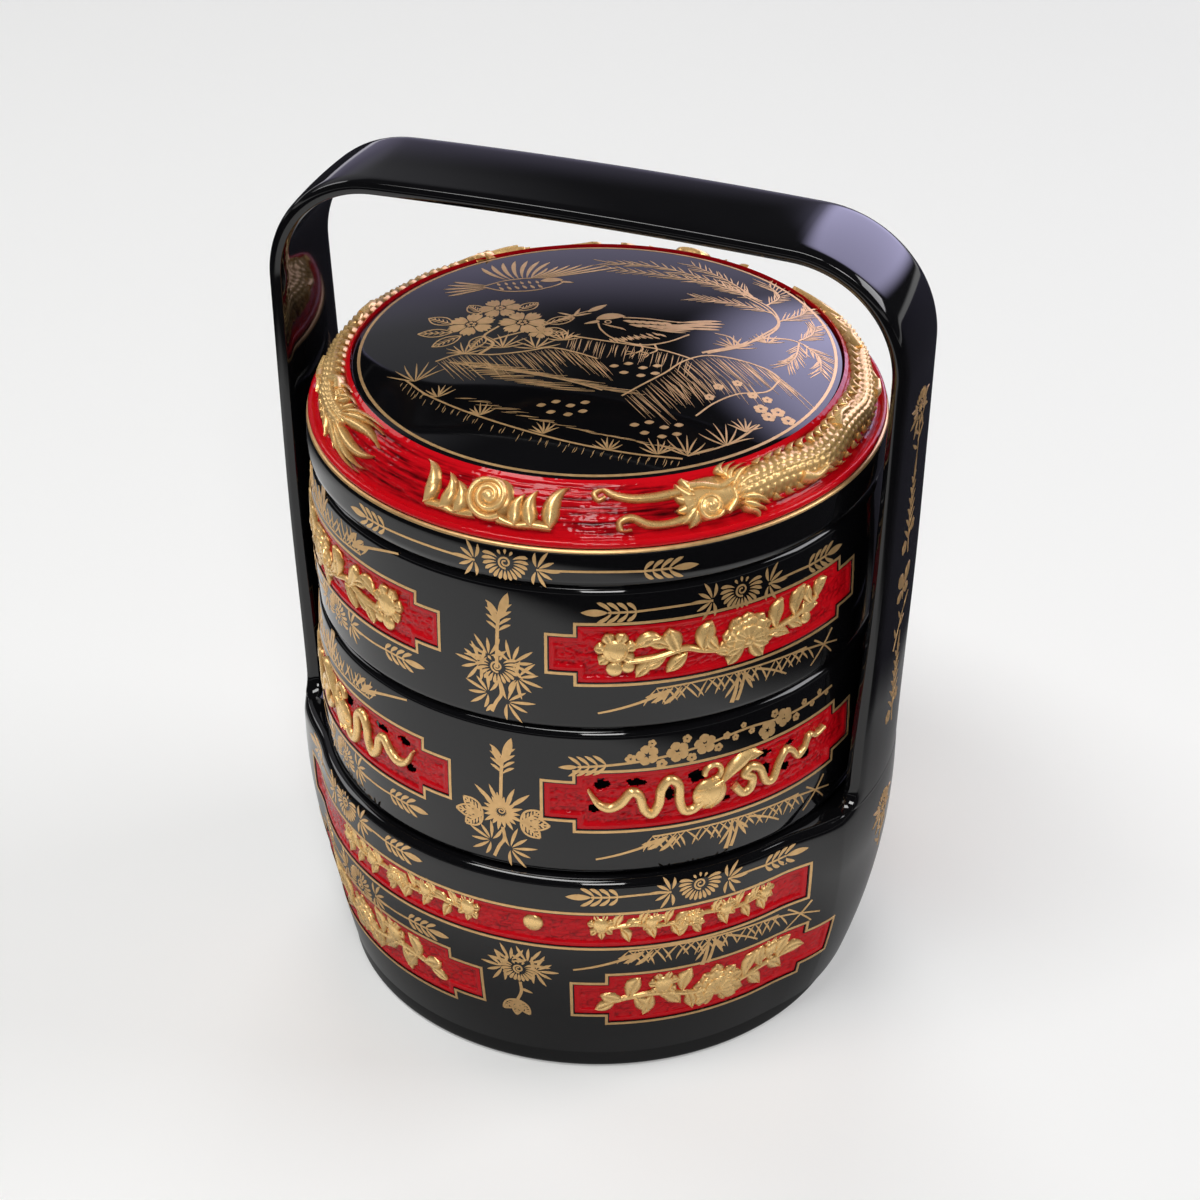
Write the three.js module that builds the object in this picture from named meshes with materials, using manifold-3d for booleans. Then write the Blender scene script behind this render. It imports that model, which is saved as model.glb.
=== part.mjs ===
// Round lacquer basket: a footed base with a fixed strap handle, two stacking trays and a domed lid.
// Millimetres, +Z up. The origin is on the ground at the middle of the foot; the handle spans X.

import * as THREE from 'three';
import { mergeVertices } from 'three/addons/utils/BufferGeometryUtils.js';
import loadManifold from 'manifold-3d';

const wasm = await loadManifold();
wasm.setup();

// Fits
const gap = 0.3;             // between a cut or inlaid piece and its neighbour
const glueGap = 0.5;         // between a round piece and the wall it is glued into
const slipFit = 0.5;         // radial play of a tray or the lid on the collar below it
const cutReach = 6;          // reach of a recess or mortise cutter beyond the face it opens

// Trays
const trayRadius = 125.3;    // at the belly of a tray
const trayBelly = 1.2;       // swell of a tray's wall past its rounded edges
const trayEdgeRound = 4;
const wallThickness = 7;
const lowerTrayHeight = 75;
const upperTrayHeight = 70;
const floorThickness = 5;
const ledgeWidth = 4;        // step inside the wall that carries the floor
const floorAboveCollar = 3;  // free height between a collar's top and the floor over it

// Locating collars, one glued inside the top of each stacked piece
const collarRise = 5;        // part that stands above the rim
const collarDepth = 8;       // part glued to the wall below the rim
const collarWall = 3;

// Base bowl and foot
const baseHeight = 114;      // from the ground to the rim that carries the lower tray
const baseOverhang = 3.2;    // base rim past the tray's belly
const baseRimRound = 4.5;
const bowlTuck = 10.5;       // how far the bowl draws in from its widest place to the foot
const bowlStraight = 14;     // upright stretch under the rim
const bowlBottomWall = 10;   // width of the bowl's lower edge
const floorLap = 4;          // lip of the bowl over the edge of its floor
const baseFloorThickness = 6;
const baseLipHeight = 5;
const footHeight = 10;
const footInset = 1.5;       // depth of the crease between bowl and foot
const footWidth = 15;
const footRound = 3;
const creaseRound = 1;       // upper edge of the foot, at the crease

// Cheeks: the bowl swells under the handle's legs and runs out round the sides
const cheekFullAngle = 15;   // degrees each side of the leg where the cheek has its full depth
const cheekFadeAngle = 17;   // degrees over which it then dies away
const cheekFootShare = 0.35; // share of the swelling left at the bowl's lower edge

// Strap handle
const strapWidth = 48;
const strapThickness = 8;
const strapEdgeRound = 3;
const legClearance = 3.3;    // between a tray's belly and the leg beside it, at the base rim
const legSplay = 1.8;        // degrees that a leg leans out
const legRimWidth = 58;      // width of a leg just above its fillets
const legFillet = 9;         // fillet where a leg's edges meet the base rim
const legFlattening = 120;   // height over which a leg turns from curved to flat
const handGap = 61;          // between the dome and the underside of the strap
const bendRadius = 58;       // middle of the strap, at its shoulders
const strapCrownRadius = 2600;

// Tenons and pegs that fix the handle
const tenonThickness = 4;
const tenonWidth = 34;
const tenonInset = 0.8;      // tenon's middle inwards from the strap's middle
const tenonEdgeRound = 1;
const pegDiameter = 5;
const pegDrop = 8;           // peg below the collar, and tenon below the peg

// Lid
const lidBandHeight = 18;
const lidBandSwell = 0.6;
const lidBandRound = 3.5;
const lidTopRound = 1.3;
const beadRadius = 1.7;      // smooth bead round the foot of the carved ring
const ringWidth = 15.5;      // carved slope, measured inwards
const ringRise = 19.5;       // carved slope, measured upwards
const ringSwell = 1.6;       // convexity of the slope
const ringThickness = 8;
const domeRise = 11;
const domeThickness = 5;
const domeLedge = 4;
const domeStep = 1;          // edge of the dome below the top of the carved ring

// Inlaid carved plates: stepped cartouches and the base's long bands
const inlayDepth = 2;        // recess in the wall
const inlayThickness = 1;
const upperPanel = { height: 27.4, length: 124, tabHeight: 16.4, tabLength: 11.8 };
const lowerPanel = { height: 29.1, length: 125.6, tabHeight: 17.9, tabLength: 13.8 };
const basePanelHeight = 29.4;
const basePanelTab = { height: 18.4, length: 15.3 };
const baseBandHeight = 17.7;
const baseBandLength = 290;
const upperPanelLift = 38.9; // middle of a panel above its tray's lower edge
const lowerPanelLift = 40;
const basePanelLift = 46;    // middle of a base cartouche above the ground
const baseBandLift = 87;
const frontRightPanelAngle = 44;
const frontLeftPanelAngle = -37;
const frontRightPanelLength = 93.7;
const frontLeftPanelLength = 112;

// Facets
const facets = 44;           // round a visible hoop
const hiddenFacets = 32;     // round a collar or a floor
const pegFacets = 10;
const roundSteps = 2;        // along a rounded edge
const beadSteps = 3;
const bendSteps = 7;         // along a shoulder of the strap
const crownSteps = 2;        // along half of the strap's top
const inlayStepAngle = 7.5;  // degrees along an inlaid plate

// Heights and radii that follow
const trayEdgeRadius = trayRadius - trayBelly;
const innerRadius = trayRadius - wallThickness;
const ledgeRadius = innerRadius - ledgeWidth;
const ledgeHeight = collarRise + floorAboveCollar;
const collarRadius = ledgeRadius - slipFit;
const baseRadius = trayRadius + baseOverhang;
const bowlBottomRadius = baseRadius - bowlTuck;
const lowerTrayZ = baseHeight;
const upperTrayZ = lowerTrayZ + lowerTrayHeight;
const lidZ = upperTrayZ + upperTrayHeight;
const lidTopZ = lidZ + lidBandHeight;
const ringFootRadius = trayRadius - lidTopRound - 2 * beadRadius;
const ringTopRadius = ringFootRadius - ringWidth;
const ringTopZ = lidTopZ + beadRadius + ringRise;
const domeRadius = ringTopRadius - gap;
const domeEdgeZ = ringTopZ - domeStep;
const domeTopZ = domeEdgeZ + domeRise;
const strapUndersideZ = domeTopZ + handGap;
const strapMiddleZ = strapUndersideZ + strapThickness / 2;
const legInner = trayRadius + legClearance;
const legMiddle = legInner + strapThickness / 2;
const cheekDepth = legInner + strapThickness - baseRadius;
const pegZ = baseHeight - collarDepth - pegDrop;
const tenonDepth = collarDepth + 2 * pegDrop;
const tenonMiddle = legMiddle - tenonInset;

// Finishes
const blackLacquer = new THREE.MeshStandardMaterial({ color: 0x1a1a1d, roughness: 0.12, metalness: 0 });
const redLacquer = new THREE.MeshStandardMaterial({ color: 0xa8121a, roughness: 0.25, metalness: 0 });
const bamboo = new THREE.MeshStandardMaterial({ color: 0xb48a52, roughness: 0.6, metalness: 0 });

const radians = THREE.MathUtils.degToRad;
const point = (r, z) => new THREE.Vector2(r, z);

// Points of an arc in the half plane of radius and height
function arc(r, z, radius, fromDegrees, toDegrees, steps) {
  return Array.from({ length: steps + 1 }, (_, i) => {
    const a = radians(fromDegrees + ((toDegrees - fromDegrees) * i) / steps);
    return point(r + radius * Math.cos(a), z + radius * Math.sin(a));
  });
}

// A closed body with merged corners and its faces pointing out
function closed(geometry) {
  const bare = geometry.clone();
  bare.deleteAttribute('normal');
  bare.deleteAttribute('uv');
  const body = mergeVertices(bare);
  const corner = body.attributes.position;
  const index = body.index.array;
  const [a, b, c] = [new THREE.Vector3(), new THREE.Vector3(), new THREE.Vector3()];
  const kept = [];
  let volume = 0;
  for (let i = 0; i < index.length; i += 3) {
    const [p, q, r] = [index[i], index[i + 1], index[i + 2]];
    if (p === q || q === r || r === p) continue;
    kept.push(p, q, r);
    a.fromBufferAttribute(corner, p);
    b.fromBufferAttribute(corner, q);
    c.fromBufferAttribute(corner, r);
    volume += a.dot(b.cross(c));
  }
  body.setIndex(volume < 0 ? kept.reverse() : kept);
  return body;
}

function toSolid(geometry) {
  const body = closed(geometry);
  return new wasm.Manifold(new wasm.Mesh({
    numProp: 3,
    vertProperties: Float32Array.from(body.attributes.position.array),
    triVerts: Uint32Array.from(body.index.array),
  }));
}

function toGeometry(solid) {
  const mesh = solid.getMesh();
  const geometry = new THREE.BufferGeometry();
  geometry.setAttribute('position', new THREE.BufferAttribute(mesh.vertProperties, 3));
  geometry.setIndex(new THREE.BufferAttribute(mesh.triVerts, 1));
  return geometry;
}

function cut(geometry, cutters) {
  return toGeometry(cutters.reduce((left, cutter) => left.subtract(toSolid(cutter)), toSolid(geometry)));
}

// Turns a closed outline of radius and height about the upright axis
function hoop(outline, segments) {
  return new THREE.LatheGeometry([...outline, outline[0]], segments).rotateX(Math.PI / 2);
}

// Turns an outline that starts and ends on the axis
function disc(outline, segments) {
  return new THREE.LatheGeometry(outline, segments).rotateX(Math.PI / 2);
}

// Walls and floors of the trays
function trayWallOutline(height) {
  const round = trayEdgeRound;
  const half = height / 2 - round;
  const swell = [-0.5, 0, 0.5].map((t) =>
    point(trayEdgeRadius + trayBelly * (1 - t * t), height / 2 + t * half));
  return [
    point(ledgeRadius, 0),
    ...arc(trayEdgeRadius - round, round, round, -90, 0, roundSteps),
    ...swell,
    ...arc(trayEdgeRadius - round, height - round, round, 0, 90, roundSteps),
    point(innerRadius, height),
    point(innerRadius, ledgeHeight),
    point(ledgeRadius, ledgeHeight),
  ];
}

const trayRadiusAt = (height) => (theta, z) => {
  const t = (z - height / 2) / (height / 2 - trayEdgeRound);
  return trayEdgeRadius + trayBelly * (1 - t * t);
};

function trayFloor() {
  const radius = innerRadius - glueGap;
  return new THREE.CylinderGeometry(radius, radius, floorThickness, hiddenFacets)
    .rotateX(Math.PI / 2).translate(0, 0, ledgeHeight + floorThickness / 2);
}

// A collar is glued inside a wall and stands up into the piece above; its rim is at height zero
function collar() {
  const bore = collarRadius - collarWall;
  return hoop([
    point(bore, -collarDepth),
    point(innerRadius - glueGap, -collarDepth),
    point(innerRadius - glueGap, 0),
    point(collarRadius, 0),
    point(collarRadius, collarRise),
    point(bore, collarRise),
  ], hiddenFacets);
}

// Bowl of the base: an arc from the foot up to an upright rim, swollen into a cheek under each leg
function bowlRadius(z) {
  const widest = baseHeight - bowlStraight;
  const below = Math.max(0, (widest - z) / (widest - footHeight));
  return baseRadius - bowlTuck * below * below;
}

function cheekShare(theta) {
  const fromLeg = Math.atan2(Math.abs(Math.sin(theta)), Math.abs(Math.cos(theta)));
  const fade = THREE.MathUtils.radToDeg(fromLeg) - cheekFullAngle;
  return 1 - THREE.MathUtils.smoothstep(fade, 0, cheekFadeAngle);
}

function cheek(theta, z) {
  const up = THREE.MathUtils.clamp((z - footHeight) / (baseHeight - footHeight), 0, 1);
  const share = 1 - (1 - cheekFootShare) * (1 - up) * (1 - up);
  return cheekDepth * share * cheekShare(theta);
}

const bowlRadiusAt = (theta, z) => bowlRadius(z) + cheek(theta, z);

function bowlWall() {
  const floorTop = footHeight + baseFloorThickness;
  const rebate = bowlBottomRadius - bowlBottomWall;
  const levels = [0, 0.06, 0.16, 0.28, 0.42, 0.58, 0.76, 1];
  const roundZ = baseHeight - baseRimRound;
  const side = levels.map((t) => {
    const z = footHeight + t * (roundZ - footHeight);
    return point(bowlRadius(z), z);
  });
  const rim = arc(baseRadius - baseRimRound, roundZ, baseRimRound, 30, 90, roundSteps);
  const outline = [
    ...side,
    ...rim,
    point(innerRadius, baseHeight),
    point(innerRadius, pegZ - pegDrop),
    point(rebate, floorTop + baseLipHeight),
    point(rebate - floorLap, floorTop),
    point(rebate, floorTop),
    point(rebate, footHeight),
  ];
  const geometry = hoop(outline, facets);

  // Under the legs the rim is square and the whole side moves out with the cheek
  const corner = geometry.attributes.position;
  const outside = side.length + rim.length;
  for (let i = 0; i < corner.count; i += 1) {
    const place = i % (outline.length + 1) % outline.length;
    if (place >= outside) continue;
    const [x, y, z] = [corner.getX(i), corner.getY(i), corner.getZ(i)];
    const r = Math.hypot(x, y);
    const theta = Math.atan2(y, x);
    const square = (bowlRadius(z) - r) * cheekShare(theta);
    const grown = (r + square + cheek(theta, z)) / r;
    corner.setXY(i, x * grown, y * grown);
  }
  return geometry;
}

// A curved plate on a grid of angles and heights, made of the cells that are kept
function plate(angles, heights, keeps, innerAt, outerAt) {
  const corners = [];
  const id = (i, j, side) => 2 * (i * heights.length + j) + side;
  for (const a of angles) {
    for (const z of heights) {
      for (const radiusAt of [innerAt, outerAt]) {
        const r = radiusAt(a, z);
        corners.push(r * Math.cos(a), r * Math.sin(a), z);
      }
    }
  }
  const faces = [];
  const quad = (a, b, c, d) => faces.push(a, b, c, a, c, d);
  const has = (i, j) =>
    i >= 0 && j >= 0 && i < angles.length - 1 && j < heights.length - 1 && keeps(i, j);
  for (let i = 0; i < angles.length - 1; i += 1) {
    for (let j = 0; j < heights.length - 1; j += 1) {
      if (!has(i, j)) continue;
      quad(id(i, j, 1), id(i + 1, j, 1), id(i + 1, j + 1, 1), id(i, j + 1, 1));
      quad(id(i, j, 0), id(i, j + 1, 0), id(i + 1, j + 1, 0), id(i + 1, j, 0));
      if (!has(i - 1, j)) quad(id(i, j, 0), id(i, j, 1), id(i, j + 1, 1), id(i, j + 1, 0));
      if (!has(i + 1, j)) quad(id(i + 1, j, 1), id(i + 1, j, 0), id(i + 1, j + 1, 0), id(i + 1, j + 1, 1));
      if (!has(i, j - 1)) quad(id(i, j, 0), id(i + 1, j, 0), id(i + 1, j, 1), id(i, j, 1));
      if (!has(i, j + 1)) quad(id(i, j + 1, 1), id(i + 1, j + 1, 1), id(i + 1, j + 1, 0), id(i, j + 1, 0));
    }
  }
  const geometry = new THREE.BufferGeometry();
  geometry.setAttribute('position', new THREE.Float32BufferAttribute(corners, 3));
  geometry.setIndex(faces);
  return geometry;
}

// A stepped cartouche, or a plain band where the tabs have no length; grown makes the recess round it
function inlay(panel, frontAngle, middleZ, radiusAt, grown, innerAt, outerAt) {
  const reach = radiusAt(radians(frontAngle - 90), middleZ);
  const halfMain = (panel.length / 2 + grown) / reach;
  const halfAll = (panel.length / 2 + panel.tabLength + grown) / reach;
  const steps = Math.ceil(THREE.MathUtils.radToDeg(2 * halfMain) / inlayStepAngle);
  const main = Array.from({ length: steps + 1 }, (_, i) => halfMain * ((2 * i) / steps - 1));
  const offsets = panel.tabLength > 0 ? [-halfAll, ...main, halfAll] : main;
  const angles = offsets.map((a) => a + radians(frontAngle - 90));
  const half = panel.height / 2 + grown;
  const tab = panel.tabHeight / 2 + grown;
  const heights = [-half, -tab, tab, half].map((z) => z + middleZ);
  const inTab = (i) => panel.tabLength > 0 && (i === 0 || i === angles.length - 2);
  const keeps = (i, j) => !inTab(i) || j === 1;
  return plate(angles, heights, keeps, innerAt, outerAt);
}

function recess(panel, frontAngle, middleZ, radiusAt) {
  return inlay(panel, frontAngle, middleZ, radiusAt, gap,
    (a, z) => radiusAt(a, z) - inlayDepth, (a, z) => radiusAt(a, z) + cutReach);
}

function inlaidPlate(panel, frontAngle, middleZ, radiusAt) {
  const seat = gap - inlayDepth;
  return inlay(panel, frontAngle, middleZ, radiusAt, 0,
    (a, z) => radiusAt(a, z) + seat, (a, z) => radiusAt(a, z) + seat + inlayThickness);
}

// Handle: sections of a strap along a path of two legs, two bends and a crowned top
function strapSection(width, thickness, round) {
  const corner = (u, v, from) => arc(u, v, round, from, from + 90, roundSteps);
  const [u, v] = [width / 2 - round, thickness / 2 - round];
  const face = [0.5, 0, -0.5].map((t) => point(t * u, thickness / 2));
  const back = face.map((p) => point(-p.x, -p.y));
  return [
    ...corner(u, v, 0), ...face, ...corner(-u, v, 90),
    ...corner(-u, -v, 180), ...back, ...corner(u, -v, 270),
  ];
}

// Places a section at (x, z), facing along the normal; the round share bends it like the base rim
function placeSection(section, x, z, normal, roundShare) {
  const bow = (u) => roundShare * (legMiddle - Math.sqrt(legMiddle * legMiddle - u * u));
  return section.map(({ x: u, y: v }) => new THREE.Vector3(
    x + (v - bow(u)) * Math.cos(normal), u, z + (v - bow(u)) * Math.sin(normal)));
}

function handleSections() {
  const splay = radians(legSplay);
  const legX = (z) => legMiddle + (z - baseHeight) * Math.tan(splay);
  const crownZ = strapMiddleZ - strapCrownRadius;

  // Middle of the bend: one bend radius inside the leg and inside the crown
  const foot = point(
    legX(baseHeight) - bendRadius * Math.cos(splay), baseHeight + bendRadius * Math.sin(splay));
  const along = point(Math.sin(splay), Math.cos(splay));
  const toFoot = point(foot.x, foot.y - crownZ);
  const half = toFoot.dot(along);
  const reach = strapCrownRadius - bendRadius;
  const run = -half + Math.sqrt(half * half - toFoot.lengthSq() + reach * reach);
  const bend = foot.clone().addScaledVector(along, run);
  const bendEnd = Math.atan2(bend.y - crownZ, bend.x);
  const bendStartZ = bend.y - bendRadius * Math.sin(splay);

  const fillet = (z) => {
    const left = Math.max(0, legFillet - (z - baseHeight));
    return legFillet - Math.sqrt(legFillet * legFillet - left * left);
  };
  const legWidth = (z) => {
    const up = (z - baseHeight) / (bendStartZ - baseHeight);
    return THREE.MathUtils.lerp(legRimWidth, strapWidth, up) + 2 * fillet(z);
  };
  const roundShare = (z) => 1 - THREE.MathUtils.smoothstep(z, baseHeight, baseHeight + legFlattening);

  const tenon = strapSection(tenonWidth, tenonThickness, tenonEdgeRound);
  const sections = [
    placeSection(tenon, tenonMiddle, baseHeight - tenonDepth, 0, 1),
    placeSection(tenon, tenonMiddle, baseHeight, 0, 1),
  ];
  const filletLevels = [0, 0.12, 0.4, 1].map((t) => baseHeight + t * legFillet);
  const legLevels = [0.2, 0.4, 0.7]
    .map((t) => THREE.MathUtils.lerp(filletLevels.at(-1), bendStartZ, t));
  for (const z of [...filletLevels, ...legLevels]) {
    const section = strapSection(legWidth(z), strapThickness, strapEdgeRound);
    sections.push(placeSection(section, legX(z), z, 0, roundShare(z)));
  }
  const strap = strapSection(strapWidth, strapThickness, strapEdgeRound);
  for (let i = 0; i <= bendSteps; i += 1) {
    const a = THREE.MathUtils.lerp(-splay, bendEnd, i / bendSteps);
    sections.push(placeSection(strap,
      bend.x + bendRadius * Math.cos(a), bend.y + bendRadius * Math.sin(a), a, 0));
  }
  for (let i = 1; i <= crownSteps; i += 1) {
    const a = THREE.MathUtils.lerp(bendEnd, Math.PI / 2, i / crownSteps);
    sections.push(placeSection(strap,
      strapCrownRadius * Math.cos(a), crownZ + strapCrownRadius * Math.sin(a), a, 0));
  }

  // The other half is a mirror image
  const mirrored = (section) => section.map((p) => new THREE.Vector3(-p.x, p.y, p.z));
  return [...sections, ...sections.slice(0, -1).reverse().map(mirrored)];
}

function loft(sections) {
  const count = sections[0].length;
  const faces = [];
  for (let s = 0; s < sections.length - 1; s += 1) {
    for (let k = 0; k < count; k += 1) {
      const [a, b] = [s * count + k, s * count + ((k + 1) % count)];
      faces.push(a, b, b + count, a, b + count, a + count);
    }
  }
  const last = (sections.length - 1) * count;
  for (let k = 1; k < count - 1; k += 1) {
    faces.push(0, k + 1, k);
    faces.push(last, last + k, last + k + 1);
  }
  const geometry = new THREE.BufferGeometry().setFromPoints(sections.flat());
  geometry.setIndex(faces);
  return geometry;
}

// Pegs lie along X through the bowl's wall and a tenon
const pegPlaces = {
  right_front: [1, -1],
  right_back: [1, 1],
  left_front: [-1, -1],
  left_back: [-1, 1],
};
const pegInnerX = innerRadius + gap;
const pegOuterX = tenonMiddle + tenonThickness / 2 + gap;
function peg([sideX, sideY], radius, fromX, toX) {
  return new THREE.CylinderGeometry(radius, radius, toX - fromX, pegFacets)
    .rotateZ(Math.PI / 2)
    .translate((sideX * (fromX + toX)) / 2, (sideY * tenonWidth) / 4, pegZ);
}
const pegHole = (place) => peg(place, pegDiameter / 2 + gap, innerRadius - pegDrop, pegOuterX + gap);

function mortise(side) {
  const half = (tenonWidth / 2 + gap) / legMiddle;
  const middle = side > 0 ? 0 : Math.PI;
  const angles = [-1, -0.5, 0, 0.5, 1].map((t) => middle + t * half);
  const heights = [baseHeight - tenonDepth - gap, baseHeight + cutReach];
  const reach = tenonThickness / 2 + gap;
  return plate(angles, heights, () => true, () => tenonMiddle - reach, () => tenonMiddle + reach);
}

// Lid
function lidBandOutline() {
  const r = trayRadius - lidBandSwell;
  return [
    point(ledgeRadius, 0),
    ...arc(r - lidBandRound, lidBandRound, lidBandRound, -90, 0, roundSteps),
    point(r + lidBandSwell, lidBandHeight / 2),
    ...arc(r - lidTopRound, lidBandHeight - lidTopRound, lidTopRound, 0, 90, roundSteps),
    point(ledgeRadius, lidBandHeight),
  ];
}

function carvedRingOutline() {
  const beadZ = lidTopZ + beadRadius;
  const slope = [0, 0.3, 0.65, 1].map((t) => point(
    ringFootRadius - t * ringWidth + ringSwell * Math.sin(Math.PI * t),
    beadZ + t * ringRise + ringSwell * Math.sin(Math.PI * t)));
  const seatZ = domeEdgeZ - domeThickness;
  const underside = ledgeRadius + ringThickness / 2;
  return [
    point(underside, lidTopZ),
    ...arc(ringFootRadius + beadRadius, beadZ, beadRadius, -90, 90, beadSteps),
    ...slope,
    point(ringTopRadius, seatZ),
    point(ringTopRadius - domeLedge, seatZ),
    point(ringTopRadius - domeLedge, seatZ - ringThickness / 2),
  ];
}

function domeOutline() {
  const seatZ = domeEdgeZ - domeThickness;
  const ledge = ringTopRadius - domeLedge;
  const shares = [0.8, 0.5];
  const top = shares.map((t) => point(domeRadius * t, domeTopZ - domeRise * t * t));
  const under = shares.map((t) => point(ledge * t, domeTopZ - domeThickness - domeRise * t * t));
  return [
    point(0, domeTopZ - domeThickness),
    ...under.reverse(),
    point(ledge, seatZ),
    point(domeRadius, seatZ),
    point(domeRadius, domeEdgeZ),
    ...top,
    point(0, domeTopZ),
  ];
}

// Assembly
const basket = new THREE.Group();

function add(parent, name, geometry, material, z = 0) {
  const mesh = new THREE.Mesh(closed(geometry), material);
  mesh.name = name;
  mesh.position.z = z;
  parent.add(mesh);
}

const trayPanelAngles = { front_right: 45, back_right: 135, back_left: 225, front_left: 315 };

function addTray(name, z, height, panel, panelLift) {
  const tray = new THREE.Group();
  const radiusAt = trayRadiusAt(height);
  const places = Object.entries(trayPanelAngles);
  const recesses = places.map(([, angle]) => recess(panel, angle, panelLift, radiusAt));
  add(tray, `${name}_wall`, cut(hoop(trayWallOutline(height), facets), recesses), blackLacquer);
  add(tray, `${name}_floor`, trayFloor(), blackLacquer);
  add(tray, `${name}_collar`, collar(), blackLacquer, height);
  for (const [place, angle] of places) {
    add(tray, `${name}_panel_${place}`, inlaidPlate(panel, angle, panelLift, radiusAt), redLacquer);
  }
  tray.position.z = z;
  basket.add(tray);
}

function addBase() {
  const base = new THREE.Group();
  const cartouche = (length) => (
    { height: basePanelHeight, length, tabHeight: basePanelTab.height, tabLength: basePanelTab.length });
  const band = (
    { height: baseBandHeight, length: baseBandLength, tabHeight: baseBandHeight / 2, tabLength: 0 });
  const plates = [
    ['base_panel_front_right', cartouche(frontRightPanelLength), frontRightPanelAngle, basePanelLift],
    ['base_panel_front_left', cartouche(frontLeftPanelLength), frontLeftPanelAngle, basePanelLift],
    ['base_panel_back_left', cartouche(frontRightPanelLength), frontRightPanelAngle + 180, basePanelLift],
    ['base_panel_back_right', cartouche(frontLeftPanelLength), frontLeftPanelAngle + 180, basePanelLift],
    ['base_band_front', band, 0, baseBandLift],
    ['base_band_back', band, 180, baseBandLift],
  ];
  const recesses = plates.map(([, panel, angle, lift]) => recess(panel, angle, lift, bowlRadiusAt));
  const pegs = Object.entries(pegPlaces);
  const holes = pegs.map(([, place]) => pegHole(place));
  add(base, 'base_wall', cut(bowlWall(), [...recesses, mortise(1), mortise(-1), ...holes]), blackLacquer);
  for (const [name, panel, angle, lift] of plates) {
    add(base, name, inlaidPlate(panel, angle, lift, bowlRadiusAt), redLacquer);
  }

  const floorRadius = bowlBottomRadius - bowlBottomWall - glueGap;
  const floor = new THREE.CylinderGeometry(floorRadius, floorRadius, baseFloorThickness, hiddenFacets);
  add(base, 'base_floor', floor.rotateX(Math.PI / 2), blackLacquer, footHeight + baseFloorThickness / 2);

  const footRadius = bowlBottomRadius - footInset;
  add(base, 'foot_ring', hoop([
    point(footRadius - footWidth, 0),
    ...arc(footRadius - footRound, footRound, footRound, -90, 0, roundSteps),
    ...arc(footRadius - creaseRound, footHeight - creaseRound, creaseRound, 0, 90, 1),
    point(footRadius - footWidth, footHeight),
  ], facets), blackLacquer);
  add(base, 'base_collar', collar(), blackLacquer, baseHeight);

  add(base, 'handle', cut(loft(handleSections()), holes), blackLacquer);
  for (const [name, place] of pegs) {
    add(base, `handle_peg_${name}`, peg(place, pegDiameter / 2, pegInnerX, pegOuterX), bamboo);
  }
  basket.add(base);
}

function addLid() {
  const lid = new THREE.Group();
  add(lid, 'lid_band', hoop(lidBandOutline(), facets), blackLacquer, lidZ);
  add(lid, 'lid_carved_ring', hoop(carvedRingOutline(), facets), redLacquer);
  add(lid, 'lid_dome', disc(domeOutline(), facets), blackLacquer);
  basket.add(lid);
}

addBase();
addTray('lower_tray', lowerTrayZ, lowerTrayHeight, lowerPanel, lowerPanelLift);
addTray('upper_tray', upperTrayZ, upperTrayHeight, upperPanel, upperPanelLift);
addLid();

export default basket;
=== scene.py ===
# Tiered lacquer basket: lacquer shells, carved red panels, gilt relief and gold painting.
# Shapes are modelled in millimetres and written in metres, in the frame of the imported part.
# Flat ornament is drawn with x to the right, y up and z outwards, and is then laid on its wall.

import math
import random

import bmesh
import bpy
from mathutils import Matrix, Vector, noise


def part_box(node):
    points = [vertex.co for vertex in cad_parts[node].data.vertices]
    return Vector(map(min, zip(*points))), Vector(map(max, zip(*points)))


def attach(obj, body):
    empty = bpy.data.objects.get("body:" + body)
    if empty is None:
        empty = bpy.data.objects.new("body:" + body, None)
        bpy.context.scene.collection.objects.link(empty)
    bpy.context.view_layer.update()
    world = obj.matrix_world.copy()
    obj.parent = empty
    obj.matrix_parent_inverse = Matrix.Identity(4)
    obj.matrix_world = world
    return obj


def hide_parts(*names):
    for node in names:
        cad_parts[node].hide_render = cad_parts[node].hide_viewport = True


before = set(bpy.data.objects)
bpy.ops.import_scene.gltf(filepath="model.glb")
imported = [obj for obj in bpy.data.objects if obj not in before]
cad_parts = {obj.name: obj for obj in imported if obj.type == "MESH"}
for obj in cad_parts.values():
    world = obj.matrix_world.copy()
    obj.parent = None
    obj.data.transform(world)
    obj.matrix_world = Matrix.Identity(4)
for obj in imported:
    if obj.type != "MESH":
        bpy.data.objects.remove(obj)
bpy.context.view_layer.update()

MM = 0.001
TURN = 2 * math.pi


def node_box(node):
    low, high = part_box(node)
    return low / MM, high / MM


# Sizes read from the frame
bowl_low, bowl_high = node_box("base_wall")
foot_high = node_box("foot_ring")[1]
collar_low, collar_high = node_box("base_collar")
base_floor_low, base_floor_high = node_box("base_floor")
lower_low, lower_high = node_box("lower_tray_wall")
upper_low, upper_high = node_box("upper_tray_wall")
tray_floor_low, tray_floor_high = node_box("lower_tray_floor")
band_low, band_high = node_box("lid_band")
ring_low, ring_high = node_box("lid_carved_ring")
dome_low, dome_high = node_box("lid_dome")
handle_high = node_box("handle")[1]

# The base and strap stay this far inside their box, for the paint on them
PAINT_ROOM = 0.15

# Trays and collars
TRAY_RADIUS = lower_high.x
TRAY_BELLY = 1.2
TRAY_ROUND = 4.0
WALL = 7.0
LEDGE = 4.0
LEDGE_HEIGHT = 8.0
INNER_RADIUS = TRAY_RADIUS - WALL
COLLAR_STEP = 4.0
COLLAR_WALL = 3.0
COLLAR_RISE = 5.0
OUTER_FACE = 3.0             # a tray's outer faces lie no further in than this

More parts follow.
